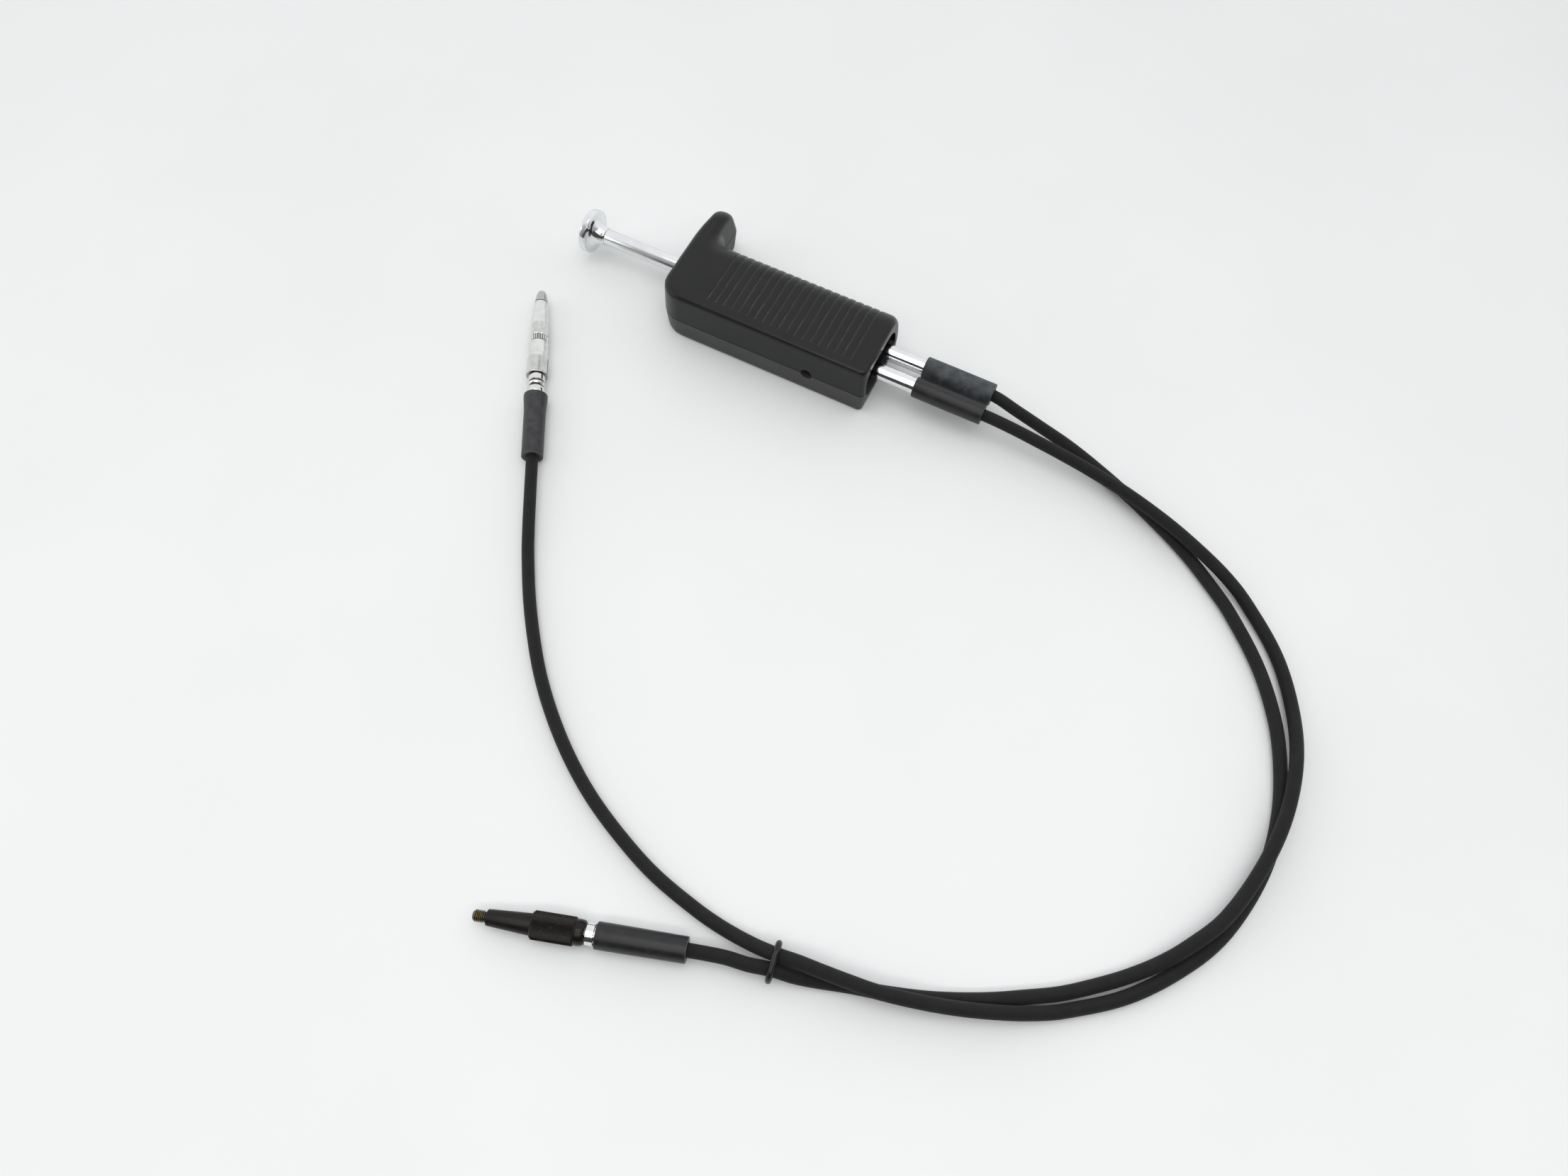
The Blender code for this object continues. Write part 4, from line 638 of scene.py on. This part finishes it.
def fluted(profile, flutes, edge, foot):
    """A turned shape whose points beyond the edge's radius go in to the foot's radius in each flute."""
    steps = 4 * flutes
    shape = spun(profile, steps)
    for vert in shape.verts:
        if line_of(vert, steps) % 4 in (0, 1) and vert.co.xy.length > edge * MILLI:
            vert.co.xy *= foot * MILLI / vert.co.xy.length
    return shape


def release_pin(tip):
    """The stepped pin in a connector, hollow at its foot for the wire, from the height of its tip."""
    step, foot = tip - 14.9, tip - 29.0
    return spun([(tip, 0), (tip, 0.4), (tip - 0.25, 0.5), (step, 0.5), (step, 1.0), (foot, 1.0),
                 (foot, 0.65), (step - 0.3, 0.65), (step - 0.3, 0)], 32)


def arc_points(height, radius, size, first, last, steps):
    """Points (height, radius) of an arc, its angles in degrees from the outward direction."""
    points = []
    for step in range(steps + 1):
        angle = math.radians(first + (last - first) * step / steps)
        points.append((height + size * math.sin(angle), radius + size * math.cos(angle)))
    return points


def path_frames(path, closed=False):
    """Places along a path, each turned on from the one before without twist."""
    count = len(path)
    frames = []
    side = None
    for index in range(count):
        before = path[index - 1] if index or closed else path[0]
        after = path[(index + 1) % count] if index < count - 1 or closed else path[-1]
        ahead = (after - before).normalized()
        if side is None:
            side = ahead.orthogonal().normalized()
        side = (side - ahead * side.dot(ahead)).normalized()
        up = ahead.cross(side)
        turn = Matrix((side, up, ahead)).transposed().to_4x4()
        frames.append(Matrix.Translation(path[index]) @ turn)
    return frames


def swept(path, diameter, sides=20, closed=False):
    """A round shape drawn along a path by extruding a circle, with the run along it kept."""
    places = path_frames(path, closed)
    if closed:
        places.append(places[0])
    shape = bmesh.new()
    bmesh.ops.create_circle(shape, cap_ends=False, segments=sides, radius=diameter / 2)
    run = shape.verts.layers.float_vector.new("run")
    for vert in shape.verts:
        vert[run] = (*vert.co.xy.normalized(), 0)
    bmesh.ops.transform(shape, matrix=places[0], verts=shape.verts)
    rim = shape.edges[:]
    length = 0.0
    for before, after in zip(places, places[1:]):
        length += (after.translation - before.translation).length
        grown = bmesh.ops.extrude_edge_only(shape, edges=rim)["geom"]
        ring = [item for item in grown if isinstance(item, bmesh.types.BMVert)]
        edges = [item for item in grown if isinstance(item, bmesh.types.BMEdge)]
        rim = [edge for edge in edges if set(ring).issuperset(edge.verts)]
        bmesh.ops.transform(shape, matrix=after @ before.inverted(), verts=ring)
        for vert in ring:
            vert[run] = (vert[run].x, vert[run].y, length)
    if closed:
        bmesh.ops.remove_doubles(shape, verts=shape.verts, dist=diameter / 200)
    else:
        bmesh.ops.holes_fill(shape, edges=[edge for edge in shape.edges if edge.is_boundary], sides=0)
    bmesh.ops.recalc_face_normals(shape, faces=shape.faces)
    return shape


def smooth_route(points, spacing):
    """Evenly spaced points on a smooth curve from the second point to the last but one."""
    dense = []
    for index in range(1, len(points) - 2):
        before, start, end, after = points[index - 1:index + 3]
        span = (end - start).length
        leave = (end - before) / (span + (start - before).length)
        arrive = (after - start) / (span + (after - end).length)
        handles = start + leave * span / 3, end - arrive * span / 3
        dense += interpolate_bezier(start, *handles, end, 17)[:-1]
    dense.append(points[-2])
    even = [dense[0]]
    since = 0.0
    for first, second in zip(dense, dense[1:]):
        since += (second - first).length
        if since >= spacing:
            even.append(second)
            since = 0.0
    if since < spacing / 2:
        even.pop()
    even.append(dense[-1])
    return even


def show(name, shape, material, body, slot, stands_for=(), place=None, sharp=35):
    """Make a piece of a finished shape, put it in its place and let it ride on its body."""
    if place is not None:
        turned = shape.verts.layers.float_vector.new("turned")
        for vert in shape.verts:
            vert[turned] = vert.co
        bmesh.ops.transform(shape, matrix=place, verts=shape.verts)
    mesh = bpy.data.meshes.new(name)
    shape.to_mesh(mesh)
    shape.free()
    mesh.shade_smooth()
    mesh.set_sharp_from_angle(angle=math.radians(sharp))
    mesh.materials.append(material)
    piece = bpy.data.objects.new(name, mesh)
    bpy.context.scene.collection.objects.link(piece)
    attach(piece, body)
    if stands_for:
        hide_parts(*stands_for)
    return piece


def cable_path(colour):
    """Where a cable leaves its sleeve at the grip, and the points that it follows from end to end."""
    row, route, place, heading, jacket_end = CABLES[colour]
    connector = on_connector(place, heading)
    start, tube_end, sleeve_end = (from_corner((along, row, AXIS_HEIGHT))
                                   for along in (TUBE_END + PRESS_GAP, TUBE_END, SLEEVE_END))
    arrive, end = (connector @ Vector((0, 0, along)) for along in (0, jacket_end))
    knots = [tube_end, sleeve_end, *(from_corner(point) for point in route), arrive, end]
    return sleeve_end, [start, *smooth_route(knots, CABLE_SPACING), end]


def declare_cable(colour, with_pieces):
    """Work out where a cable runs; nothing is declared, and the pieces that it is given are not used."""
    leaves, path = cable_path(colour)


# Operators


class RELEASE_OT_stage(bpy.types.Operator):
    """Make the floor, the soft lights, the surroundings and the photograph's camera"""

    bl_idname = "release.stage"
    bl_label = "Stage"

    def execute(self, context):
        scene = context.scene
        scene.view_settings.view_transform = "Standard"
        self.make_floor(scene)
        away = (CAMERA_AIM - CAMERA_PLACE).to_2d().normalized().to_3d()
        aside = Vector((away.y, -away.x, 0))
        self.make_surroundings(scene, away)
        for name, (nearer, left, height, size, power) in LIGHTS.items():
            place = STAGE_CENTRE - nearer * away - left * aside + Vector((0, 0, height))
            self.make_light(scene, name, place, size, power)
        self.make_camera(scene)
        return {"FINISHED"}

    def make_floor(self, scene):
        """The plain pale floor that the release lies on."""
        shape = bmesh.new()
        bmesh.ops.create_grid(shape, x_segments=4, y_segments=4, size=sizes().floor_width / 2)
        bmesh.ops.translate(shape, verts=shape.verts, vec=(0, 0, -FLOOR_DROP))
        mesh = bpy.data.meshes.new("floor")
        shape.to_mesh(mesh)
        shape.free()
        floor = bpy.data.objects.new("floor", mesh)
        scene.collection.objects.link(floor)
        material, tree = material_base("pale_floor")
        cloud = noise(place_on_object(tree), 9.0, 3.0)
        tone = mottled(cloud, colours().floor, 0.985, 1.01, 0.3, 0.7)
        shader = tree.nodes["Principled BSDF"]
        feed_all(shader, {"Base Color": tone, "Roughness": 0.6, "Specular IOR Level": 0.2})
        mesh.materials.append(material)

    def make_surroundings(self, scene, away):
        """A bright side beyond the release that falls off towards the camera's side."""
        world = bpy.data.worlds.new("studio")
        scene.world = world
        world.use_nodes = True
        tree = world.node_tree
        near = node(tree, "ShaderNodeVectorMath", operation="DOT_PRODUCT")
        feed(near.inputs[0], node(tree, "ShaderNodeTexCoord").outputs["Generated"])
        feed(near.inputs[1], -away)
        towards = near.outputs["Value"]
        tone = blend_colours(between(towards, -0.10, 0.40), FAR_TONE, SIDE_TONE)
        tone = blend_colours(between(towards, 0.50, 0.72), tone, NEAR_TONE)
        feed_all(tree.nodes["Background"], {"Color": tone, "Strength": 1.0})

    def make_light(self, scene, name, place, size, power):
        """A soft lamp turned to the middle of the release."""
        lamp = bpy.data.lights.new(name, "AREA")
        lamp.shape = "RECTANGLE"
        lamp.size, lamp.size_y = size
        lamp.energy = power
        light = bpy.data.objects.new(name, lamp)
        scene.collection.objects.link(light)
        light.location = place
        light.rotation_euler = (STAGE_CENTRE - place).to_track_quat("-Z", "Y").to_euler()

    def make_camera(self, scene):
        """The photograph's camera, with its slight roll."""
        lens = bpy.data.cameras.new("photo_camera")
        lens.sensor_width = SENSOR_WIDTH
        lens.lens = SENSOR_WIDTH * FOCAL_PIXELS / PHOTO_WIDTH
        lens.clip_start = 0.01
        camera = bpy.data.objects.new("photo_camera", lens)
        scene.collection.objects.link(camera)
        ahead = (CAMERA_AIM - CAMERA_PLACE).normalized()
        level = ahead.cross(Vector((0, 0, 1))).normalized()
        over = level.cross(ahead)
        right = math.cos(CAMERA_ROLL) * level + math.sin(CAMERA_ROLL) * over
        up = math.cos(CAMERA_ROLL) * over - math.sin(CAMERA_ROLL) * level
        turn = Matrix((right, up, -ahead)).transposed()
        camera.matrix_world = Matrix.Translation(CAMERA_PLACE) @ turn.to_4x4()
        scene.camera = camera


class RELEASE_OT_cables(bpy.types.Operator):
    """Make the two braided cables, each one smooth tube from the grip's sleeve to its connector"""

    bl_idname = "release.cables"
    bl_label = "Braided cables"

    def execute(self, context):
        braid = braid_finish("black_braid")
        for colour in CABLES:
            shape = swept(cable_path(colour)[1], sizes().cable_diameter)
            nodes = [prefix + colour for prefix in ("cable_jacket_", "cable_conduit_", "inner_wire_")]
            show("braided_cable_" + colour, shape, braid, "grip", "braid", nodes)
        return {"FINISHED"}


class RELEASE_OT_grip(bpy.types.Operator):
    """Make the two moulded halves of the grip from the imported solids, smoothed over their roundings"""

    bl_idname = "release.grip"
    bl_label = "Grip"

    def execute(self, context):
        plastic = colours().plastic
        upper = plastic_finish("grip_plastic_upper", plastic, 0.29, 0.33, True)
        # painted light: the lower half's plastic is 6.5 times lighter than the upper's, standing in for the
        # bright floor that its wall reflects
        lower = plastic_finish("grip_plastic_lower", scaled(plastic, 6.5), 0.42, 0.48, False)
        self.make_half("grip_upper_half", "grip_upper_shell", upper)
        self.make_half("grip_lower_half", "grip_lower_shell", lower)
        return {"FINISHED"}

    def make_half(self, name, solid, material):
        """A copy of a packed half, its flat faces joined and its roundings shaded smooth."""
        shape = bmesh.new()
        shape.from_mesh(frame["nodes"][solid].data)
        bmesh.ops.remove_doubles(shape, verts=shape.verts, dist=0.000002)
        bmesh.ops.dissolve_limit(shape, angle_limit=math.radians(0.6), verts=shape.verts, edges=shape.edges)
        half = show(name, shape, material, "grip", "grip_plastic", [solid], sharp=28)
        if "custom_normal" in half.data.attributes:
            half.data.attributes.remove(half.data.attributes["custom_normal"])
        flat = half.modifiers.new("flat_faces_stay_flat", "WEIGHTED_NORMAL")
        flat.keep_sharp = True
        flat.weight = 100


class RELEASE_OT_plunger(bpy.types.Operator):
    """Make the chrome thumb button and the rod that it pushes"""

    bl_idname = "release.plunger"
    bl_label = "Plunger"

    def execute(self, context):
        chrome = chrome_finish("plunger_chrome")
        place = along_grip(SILVER_ROW)
        face, rim, neck = -37.3, 7.3, 3.1
        collar = face + 7.2
        flare, lip, flare_steps = collar - 0.4, rim - 0.25, 18
        button = [(collar - 5.0, 0), (collar - 5.0, 1.8), (collar, 1.8), (collar, 2.72),
                  (collar - 0.15, 2.98), (flare, neck)]
        for step in range(1, flare_steps + 1):
            angle = math.radians(90) * step / flare_steps
            button.append((flare - 4.25 * math.sin(angle), neck + (lip - neck) * (1 - math.cos(angle))))
        button += arc_points(face + 2.15, lip, 0.25, 70, 0, 3)
        button += arc_points(face + 0.6, rim - 0.6, 0.6, 0, -90, 5)
        button += [(face + 0.02, 0.85 * rim), (face + 0.10, 0.70 * rim), (face + 0.32, 0.45 * rim),
                   (face + 0.52, 0.22 * rim), (face + 0.6, 0)]
        show("thumb_button_chrome", spun(button, 96), chrome, "plunger", "chrome", ["thumb_button"], place)
        joint = collar + 0.04
        rod = [(34.7, 0), (34.7, 1.7), (31.9, 1.7), (31.9, 2.7), (11.7, 2.7), (11.7, 2.0), (10.3, 2.0),
               (10.3, 2.7), (joint, 2.7), (joint, 1.5), (collar - 4.7, 1.5), (collar - 4.7, 0)]
        show("plunger_rod_chrome", spun(rod, 72, 0.08), chrome, "plunger", "chrome", ["plunger_rod"], place)
        return {"FINISHED"}


class RELEASE_OT_tubes(bpy.types.Operator):
    """Make the two chrome guide tubes"""

    bl_idname = "release.tubes"
    bl_label = "Guide tubes"

    def execute(self, context):
        chrome = chrome_finish("tube_chrome")
        end = TUBE_END / MILLI
        for colour, row in (("silver", SILVER_ROW), ("black", BLACK_ROW)):
            shape = spun([(end, 2.65), (50.5, 2.65), (50.5, 1.7), (end, 1.7)], 64, 0.12)
            show("guide_tube_chrome_" + colour, shape, chrome, "grip", "chrome",
                 ["guide_tube_" + colour], along_grip(row))
        return {"FINISHED"}


class RELEASE_OT_sleeves(bpy.types.Operator):
    """Make the two rubber sleeves over the guide tubes and the ends of the cables"""

    bl_idname = "release.sleeves"
    bl_label = "Sleeves at the grip"

    def execute(self, context):
        # heights of the painted highlight on the rims of the sleeves' cable ends
        rim_highlight_heights = SLEEVE_END - 0.00014, SLEEVE_END + 0.00012
        grey, black = colours().grey_rubber, colours().rubber
        faded = rubber_finish("faded_rubber", grey, 0.46, 0.62, (*rim_highlight_heights, 0.0034), (0.45, 1.55))
        black = rubber_finish("black_rubber", black, 0.34, 0.48, (*rim_highlight_heights, 0.0031))
        self.make_sleeve("silver", SILVER_ROW, 3.7, faded)
        self.make_sleeve("black", BLACK_ROW, 3.4, black)
        return {"FINISHED"}

    def make_sleeve(self, colour, row, radius, rubber):
        """One sleeve, a little thinner towards its ends."""
        start, end = SLEEVE_START / MILLI, SLEEVE_END / MILLI
        profile = [(end, 2.1), *arc_points(end - 0.16, radius - 0.19, 0.16, 90, 0, 4),
                   (end - 5.0, radius - 0.03), (end - 12.0, radius), (start + 6.0, radius - 0.02),
                   *arc_points(start + 0.3, radius - 0.32, 0.3, 0, -90, 4), (start, 2.85),
                   (96.5, 2.85), (96.5, 2.1)]
        show("grip_sleeve_rubber_" + colour, spun(profile), rubber, "grip", "rubber",
             ["grip_sleeve_" + colour], along_grip(row))


class RELEASE_OT_silver_connector(bpy.types.Operator):
    """Make the silver connector: sleeve, beaded ferrule, knurled barrel, nose, flutes, red ring and pin"""

    bl_idname = "release.silver_connector"
    bl_label = "Silver connector"

    def execute(self, context):
        place = on_connector(SILVER_PLACE, SILVER_HEADING)
        rubber = rubber_finish("silver_sleeve_rubber", scaled(colours().rubber, 2.1), 0.40, 0.56,
                               SLEEVE_RIM_HIGHLIGHT, (0.60, 1.40))
        sleeve = [(23.1, 2.6), (23.1, 3.30), *arc_points(22.75, 3.48, 0.35, 90, 0, 5), (21.4, 3.80),
                  (19.2, 3.62), (17.0, 3.48), (12.0, 3.45), (3.0, 3.42),
                  *arc_points(0.14, 3.26, 0.14, 0, -90, 3), (0, 2.1), (7.1, 2.1), (7.1, 2.6)]
        # painted shade: the grooves on both sides of the ferrule's bead and the bead's foot get the dark
        # colour
        chrome = satin_finish("ferrule_chrome", (25.5, 28.4, 2.28, 2.48, 0.95), (0.08, 0.15))
        ferrule = [(35.8, 1.4), (35.8, 2.0), (30.4, 2.0), (30.4, 2.62), (30.3, 2.72), (28.4, 2.68),
                   (28.3, 2.55), (28.28, 2.26), (28.05, 2.26), *arc_points(27.2, 1.90, 0.85, 68, -68, 10),
                   (26.35, 2.26), (25.85, 2.26), (25.8, 2.60), (25.65, 2.70), (23.55, 2.70), (23.4, 2.60),
                   (23.4, 2.4), (7.3, 2.4), (7.3, 1.4)]
        barrel_finish = satin_finish("satin_barrel", (30.5, 36.9, 3.41, 3.51, 0.50))
        barrel = [(43.5, 2.3), (43.5, 3.0), (43.4, 3.1), (37.3, 3.1), (37.1, 3.15), (37.1, 3.36),
                  (36.85, 3.53), (30.8, 3.53), (30.6, 3.40), (30.6, 2.3)]
        barrel = knurled(barrel, sizes().silver_ridges, 30.7, 37.0, 0.10)
        nose_finish = satin_finish("satin_nose", (46.2, 50.8, 2.90, 2.98, 0.35), darker_from=60.3)
        nose = [(64.6, 0.75), (64.75, 0.85), (64.8, 0.95), (64.72, 1.10), (64.45, 1.28), (64.0, 1.48),
                (63.4, 1.67), (62.6, 1.85), (61.7, 2.0), (60.9, 2.09), (60.35, 2.14), (60.0, 2.14),
                (59.92, 2.26), (51.3, 2.78), (51.05, 2.76), (51.0, 2.84), (50.75, 3.0), (46.15, 3.0),
                (45.9, 2.82), (45.9, 2.55), (43.8, 2.55), (43.8, 2.0), (36.1, 2.0), (36.1, 1.4),
                (60.8, 1.4), (60.8, 0.75)]
        nose = knurled(nose, sizes().silver_ridges, 46.0, 50.9, 0.09)
        flute_finish = satin_finish("fluted_band", (43.8, 45.9, 2.68, 2.86, 0.75))
        flutes = [(45.85, 2.58), (45.85, 2.88), (45.7, 2.92), (44.0, 2.92), (43.85, 2.88), (43.85, 2.58)]
        flutes = fluted(flutes, sizes().flutes, 2.7, 2.66)
        red = paint_finish("red_ring_paint", colours().red)
        ring = [(60.34, 2.12), (60.34, 2.18), (60.28, 2.22), (60.07, 2.24), (60.02, 2.22), (60.02, 2.12)]
        steel = inner_metal("pin_steel", colours().steel, 0.2, 0.38)
        pin = release_pin(64.4)
        rows = (
            ("silver_sleeve_skin", spun(sleeve), rubber, "grip", "rubber", ["silver_sleeve"], place),
            ("silver_ferrule_chrome", spun(ferrule), chrome, "grip", "chrome", ["silver_ferrule"], place),
            ("silver_barrel_knurled", barrel, barrel_finish, "silver_adjuster", "satin_silver",
             ["silver_barrel"], place, 20),
            ("silver_nose_knurled", nose, nose_finish, "silver_end", "satin_silver",
             ["silver_nose"], place, 20),
            ("silver_fluted_band", flutes, flute_finish, "silver_end", "satin_silver", (), place, 25),
            ("silver_red_ring", spun(ring), red, "silver_end", "satin_silver", (), place),
            ("silver_pin_steel", pin, steel, "silver_pin", "steel", ["silver_release_pin"], place),
        )
        declare_cable("silver", [show(*row) for row in rows])
        return {"FINISHED"}


class RELEASE_OT_black_connector(bpy.types.Operator):
    """Make the black connector: sleeve, ferrule, knurled nose, worn brass thread and pin"""

    bl_idname = "release.black_connector"
    bl_label = "Black connector"

    def execute(self, context):
        place = on_connector(BLACK_PLACE, BLACK_HEADING)
        rubber = rubber_finish("black_sleeve_rubber", scaled(colours().rubber, 0.8), 0.34, 0.46, SLEEVE_RIM_HIGHLIGHT)
        sleeve = [(24.1, 2.6), (24.1, 3.35), *arc_points(23.85, 3.33, 0.25, 90, 0, 5), (16.0, 3.56),
                  (3.0, 3.46), *arc_points(0.14, 3.31, 0.14, 0, -90, 3), (0, 2.1), (8.1, 2.1), (8.1, 2.6)]
        chrome = chrome_finish("black_ferrule_plate")
        ferrule = [(33.0, 1.4), (33.0, 2.0), (26.7, 2.0), (26.7, 2.9), (26.6, 3.0), (24.55, 3.0),
                   (24.4, 2.88), (24.4, 2.4), (8.3, 2.4), (8.3, 1.4)]
        blacked = blacked_finish("blacked_brass")
        nose = [(53.85, 1.0), (53.85, 1.35), (53.35, 1.35), (53.3, 2.02), (53.15, 2.15), (41.5, 2.88),
                (41.25, 2.80), (41.2, 2.95), (41.2, 3.45), (40.85, 3.75), (30.05, 3.75), (29.7, 3.50),
                (29.7, 3.36), (29.55, 3.42), (28.9, 3.45), (28.1, 3.40), (27.5, 3.24), (27.15, 3.0),
                (27.0, 2.75), (27.0, 2.3), (33.3, 2.3), (33.3, 1.4), (53.0, 1.4), (53.0, 1.0)]
        nose = knurled(nose, sizes().black_ridges, 29.9, 41.0, 0.15)
        brass = thread_finish("worn_brass_thread")
        steel = inner_metal("black_pin_steel", colours().steel, 0.2, 0.38)
        pin = release_pin(56.6)
        rows = (
            ("black_sleeve_skin", spun(sleeve), rubber, "grip", "rubber", ["black_sleeve"], place),
            ("black_ferrule_chrome", spun(ferrule), chrome, "grip", "chrome", ["black_ferrule"], place),
            ("black_nose_knurled", nose, blacked, "black_end", "blacked_brass", ["black_nose"], place, 22),
            ("black_thread_brass", self.thread(), brass, "black_end", "brass", ["black_nose"], place, 25),
            ("black_pin_bright", pin, steel, "black_pin", "steel", ["black_release_pin"], place),
        )
        declare_cable("black", [show(*row) for row in rows] + [bpy.data.objects["cable_ring_rubber"]])
        return {"FINISHED"}

    def thread(self):
        """The screw-in tip: rings of crests and roots below a short pilot."""
        crest, root, pitch = 1.6, 1.30, 0.5
        top, bottom = 56.65, 53.9
        profile = [(57.0, 0.75), (57.0, 1.10), (56.75, 1.30)]
        while top - pitch > bottom + 0.05:
            profile += [(top, root), (top - 0.20, crest), (top - 0.28, crest)]
            top -= pitch
        return spun(profile + [(top, root), (bottom, root), (bottom, 0.75)])


class RELEASE_OT_ring(bpy.types.Operator):
    """Make the glossy rubber ring that holds the two cables together"""

    bl_idname = "release.ring"
    bl_label = "Cable ring"

    def execute(self, context):
        first, second = from_corner(RING_ON_SILVER_CABLE), from_corner(RING_ON_BLACK_CABLE)
        across = (first - second).normalized()
        up = (Vector((0, 0, 1)) - across * across.z).normalized()
        gap, half_steps = 0.00015, 16
        radius = sizes().cable_diameter / 2 + gap + sizes().ring_section / 2
        path = []
        for centre, begin in ((first, -90), (second, 90)):
            for step in range(half_steps + 1):
                angle = math.radians(begin + 180 * step / half_steps)
                path.append(centre + radius * (across * math.cos(angle) + up * math.sin(angle)))
        shape = swept(path, sizes().ring_section, closed=True)
        middle = Matrix.Translation((first + second) / 2)
        bmesh.ops.transform(shape, matrix=middle.inverted(), verts=shape.verts)
        rubber = rubber_finish("ring_rubber", scaled(colours().rubber, 0.45), 0.22, 0.32)
        show("cable_ring_rubber", shape, rubber, "grip", "rubber", ["cable_ring"], middle)
        return {"FINISHED"}


class RELEASE_OT_works(bpy.types.Operator):
    """Make the return spring and finish the metal pieces inside the grip"""

    bl_idname = "release.works"
    bl_label = "Inner works"

    def execute(self, context):
        steel = inner_metal("works_steel", colours().steel, 0.22, 0.42)
        # painted shade: the set screw's steel is darkened to a fifth so that the side hole it shows through
        # reads dark
        dark_steel = inner_metal("hole_shade_steel", scaled(colours().steel, 0.18), 0.35, 0.5)
        brass = inner_metal("works_brass", colours().brass, 0.25, 0.45)
        finishes = {
            "rod_stop_clip": steel, "spring_seat": steel, "push_pin_silver": steel, "push_pin_black": steel,
            "shell_screw_front": steel, "shell_screw_rear": steel, "timing_set_screw": dark_steel,
            "rod_guide_bush": brass, "crosshead": brass, "tube_clamp": brass,
        }
        for name, finish in finishes.items():
            solid = frame["nodes"][name]
            solid.data.materials.clear()
            solid.data.materials.append(finish)
        self.make_spring(steel)
        return {"FINISHED"}

    def make_spring(self, steel):
        """The coil round the rod, between the ends of the packed spring."""
        low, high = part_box("return_spring")
        wire, radius, turns, turn_steps = 0.0007, 0.0038, 5, 28
        start, end = low.x + wire / 2, high.x - wire / 2
        middle = from_corner((0, SILVER_ROW, AXIS_HEIGHT))
        path = []
        for step in range(turns * turn_steps + 1):
            angle = math.tau * step / turn_steps
            along = start + (end - start) * step / (turns * turn_steps)
            aside, down = radius * math.sin(angle), radius * math.cos(angle)
            path.append(Vector((along, middle.y + aside, middle.z - down)))
        spring = show("return_spring_coil", swept(path, wire, 12), steel, "grip", "steel", ["return_spring"])
        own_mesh(spring)


class RELEASE_PT_panel(bpy.types.Panel):
    """Lists the operators, sizes and colours of the release"""

    bl_idname = "RELEASE_PT_panel"
    bl_label = "Cable shutter release"
    bl_space_type = "VIEW_3D"
    bl_region_type = "UI"
    bl_category = "Release"

    def draw(self, context):
        layout = self.layout
        for operator in OPERATORS:
            layout.operator(operator.bl_idname)
        for group in (context.scene.release_sizes, context.scene.release_colours):
            box = layout.box()
            for name in group.__annotations__:
                box.prop(group, name)


OPERATORS = (
    RELEASE_OT_stage, RELEASE_OT_cables, RELEASE_OT_grip, RELEASE_OT_plunger, RELEASE_OT_tubes,
    RELEASE_OT_sleeves, RELEASE_OT_ring, RELEASE_OT_silver_connector, RELEASE_OT_black_connector,
    RELEASE_OT_works,
)
CLASSES = (ReleaseSizes, ReleaseColours, *OPERATORS, RELEASE_PT_panel)


def register():
    """Register the classes and hang the properties on the scene."""
    for cls in CLASSES:
        bpy.utils.register_class(cls)
    bpy.types.Scene.release_sizes = PointerProperty(type=ReleaseSizes)
    bpy.types.Scene.release_colours = PointerProperty(type=ReleaseColours)


def unregister():
    """Take the properties and classes away again."""
    del bpy.types.Scene.release_colours
    del bpy.types.Scene.release_sizes
    for cls in reversed(CLASSES):
        bpy.utils.unregister_class(cls)


def main():
    """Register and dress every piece."""
    register()
    bpy.ops.release.stage()
    bpy.ops.release.cables()
    bpy.ops.release.grip()
    bpy.ops.release.plunger()
    bpy.ops.release.tubes()
    bpy.ops.release.sleeves()
    bpy.ops.release.ring()
    bpy.ops.release.silver_connector()
    bpy.ops.release.black_connector()
    bpy.ops.release.works()


if __name__ == "__main__":
    main()
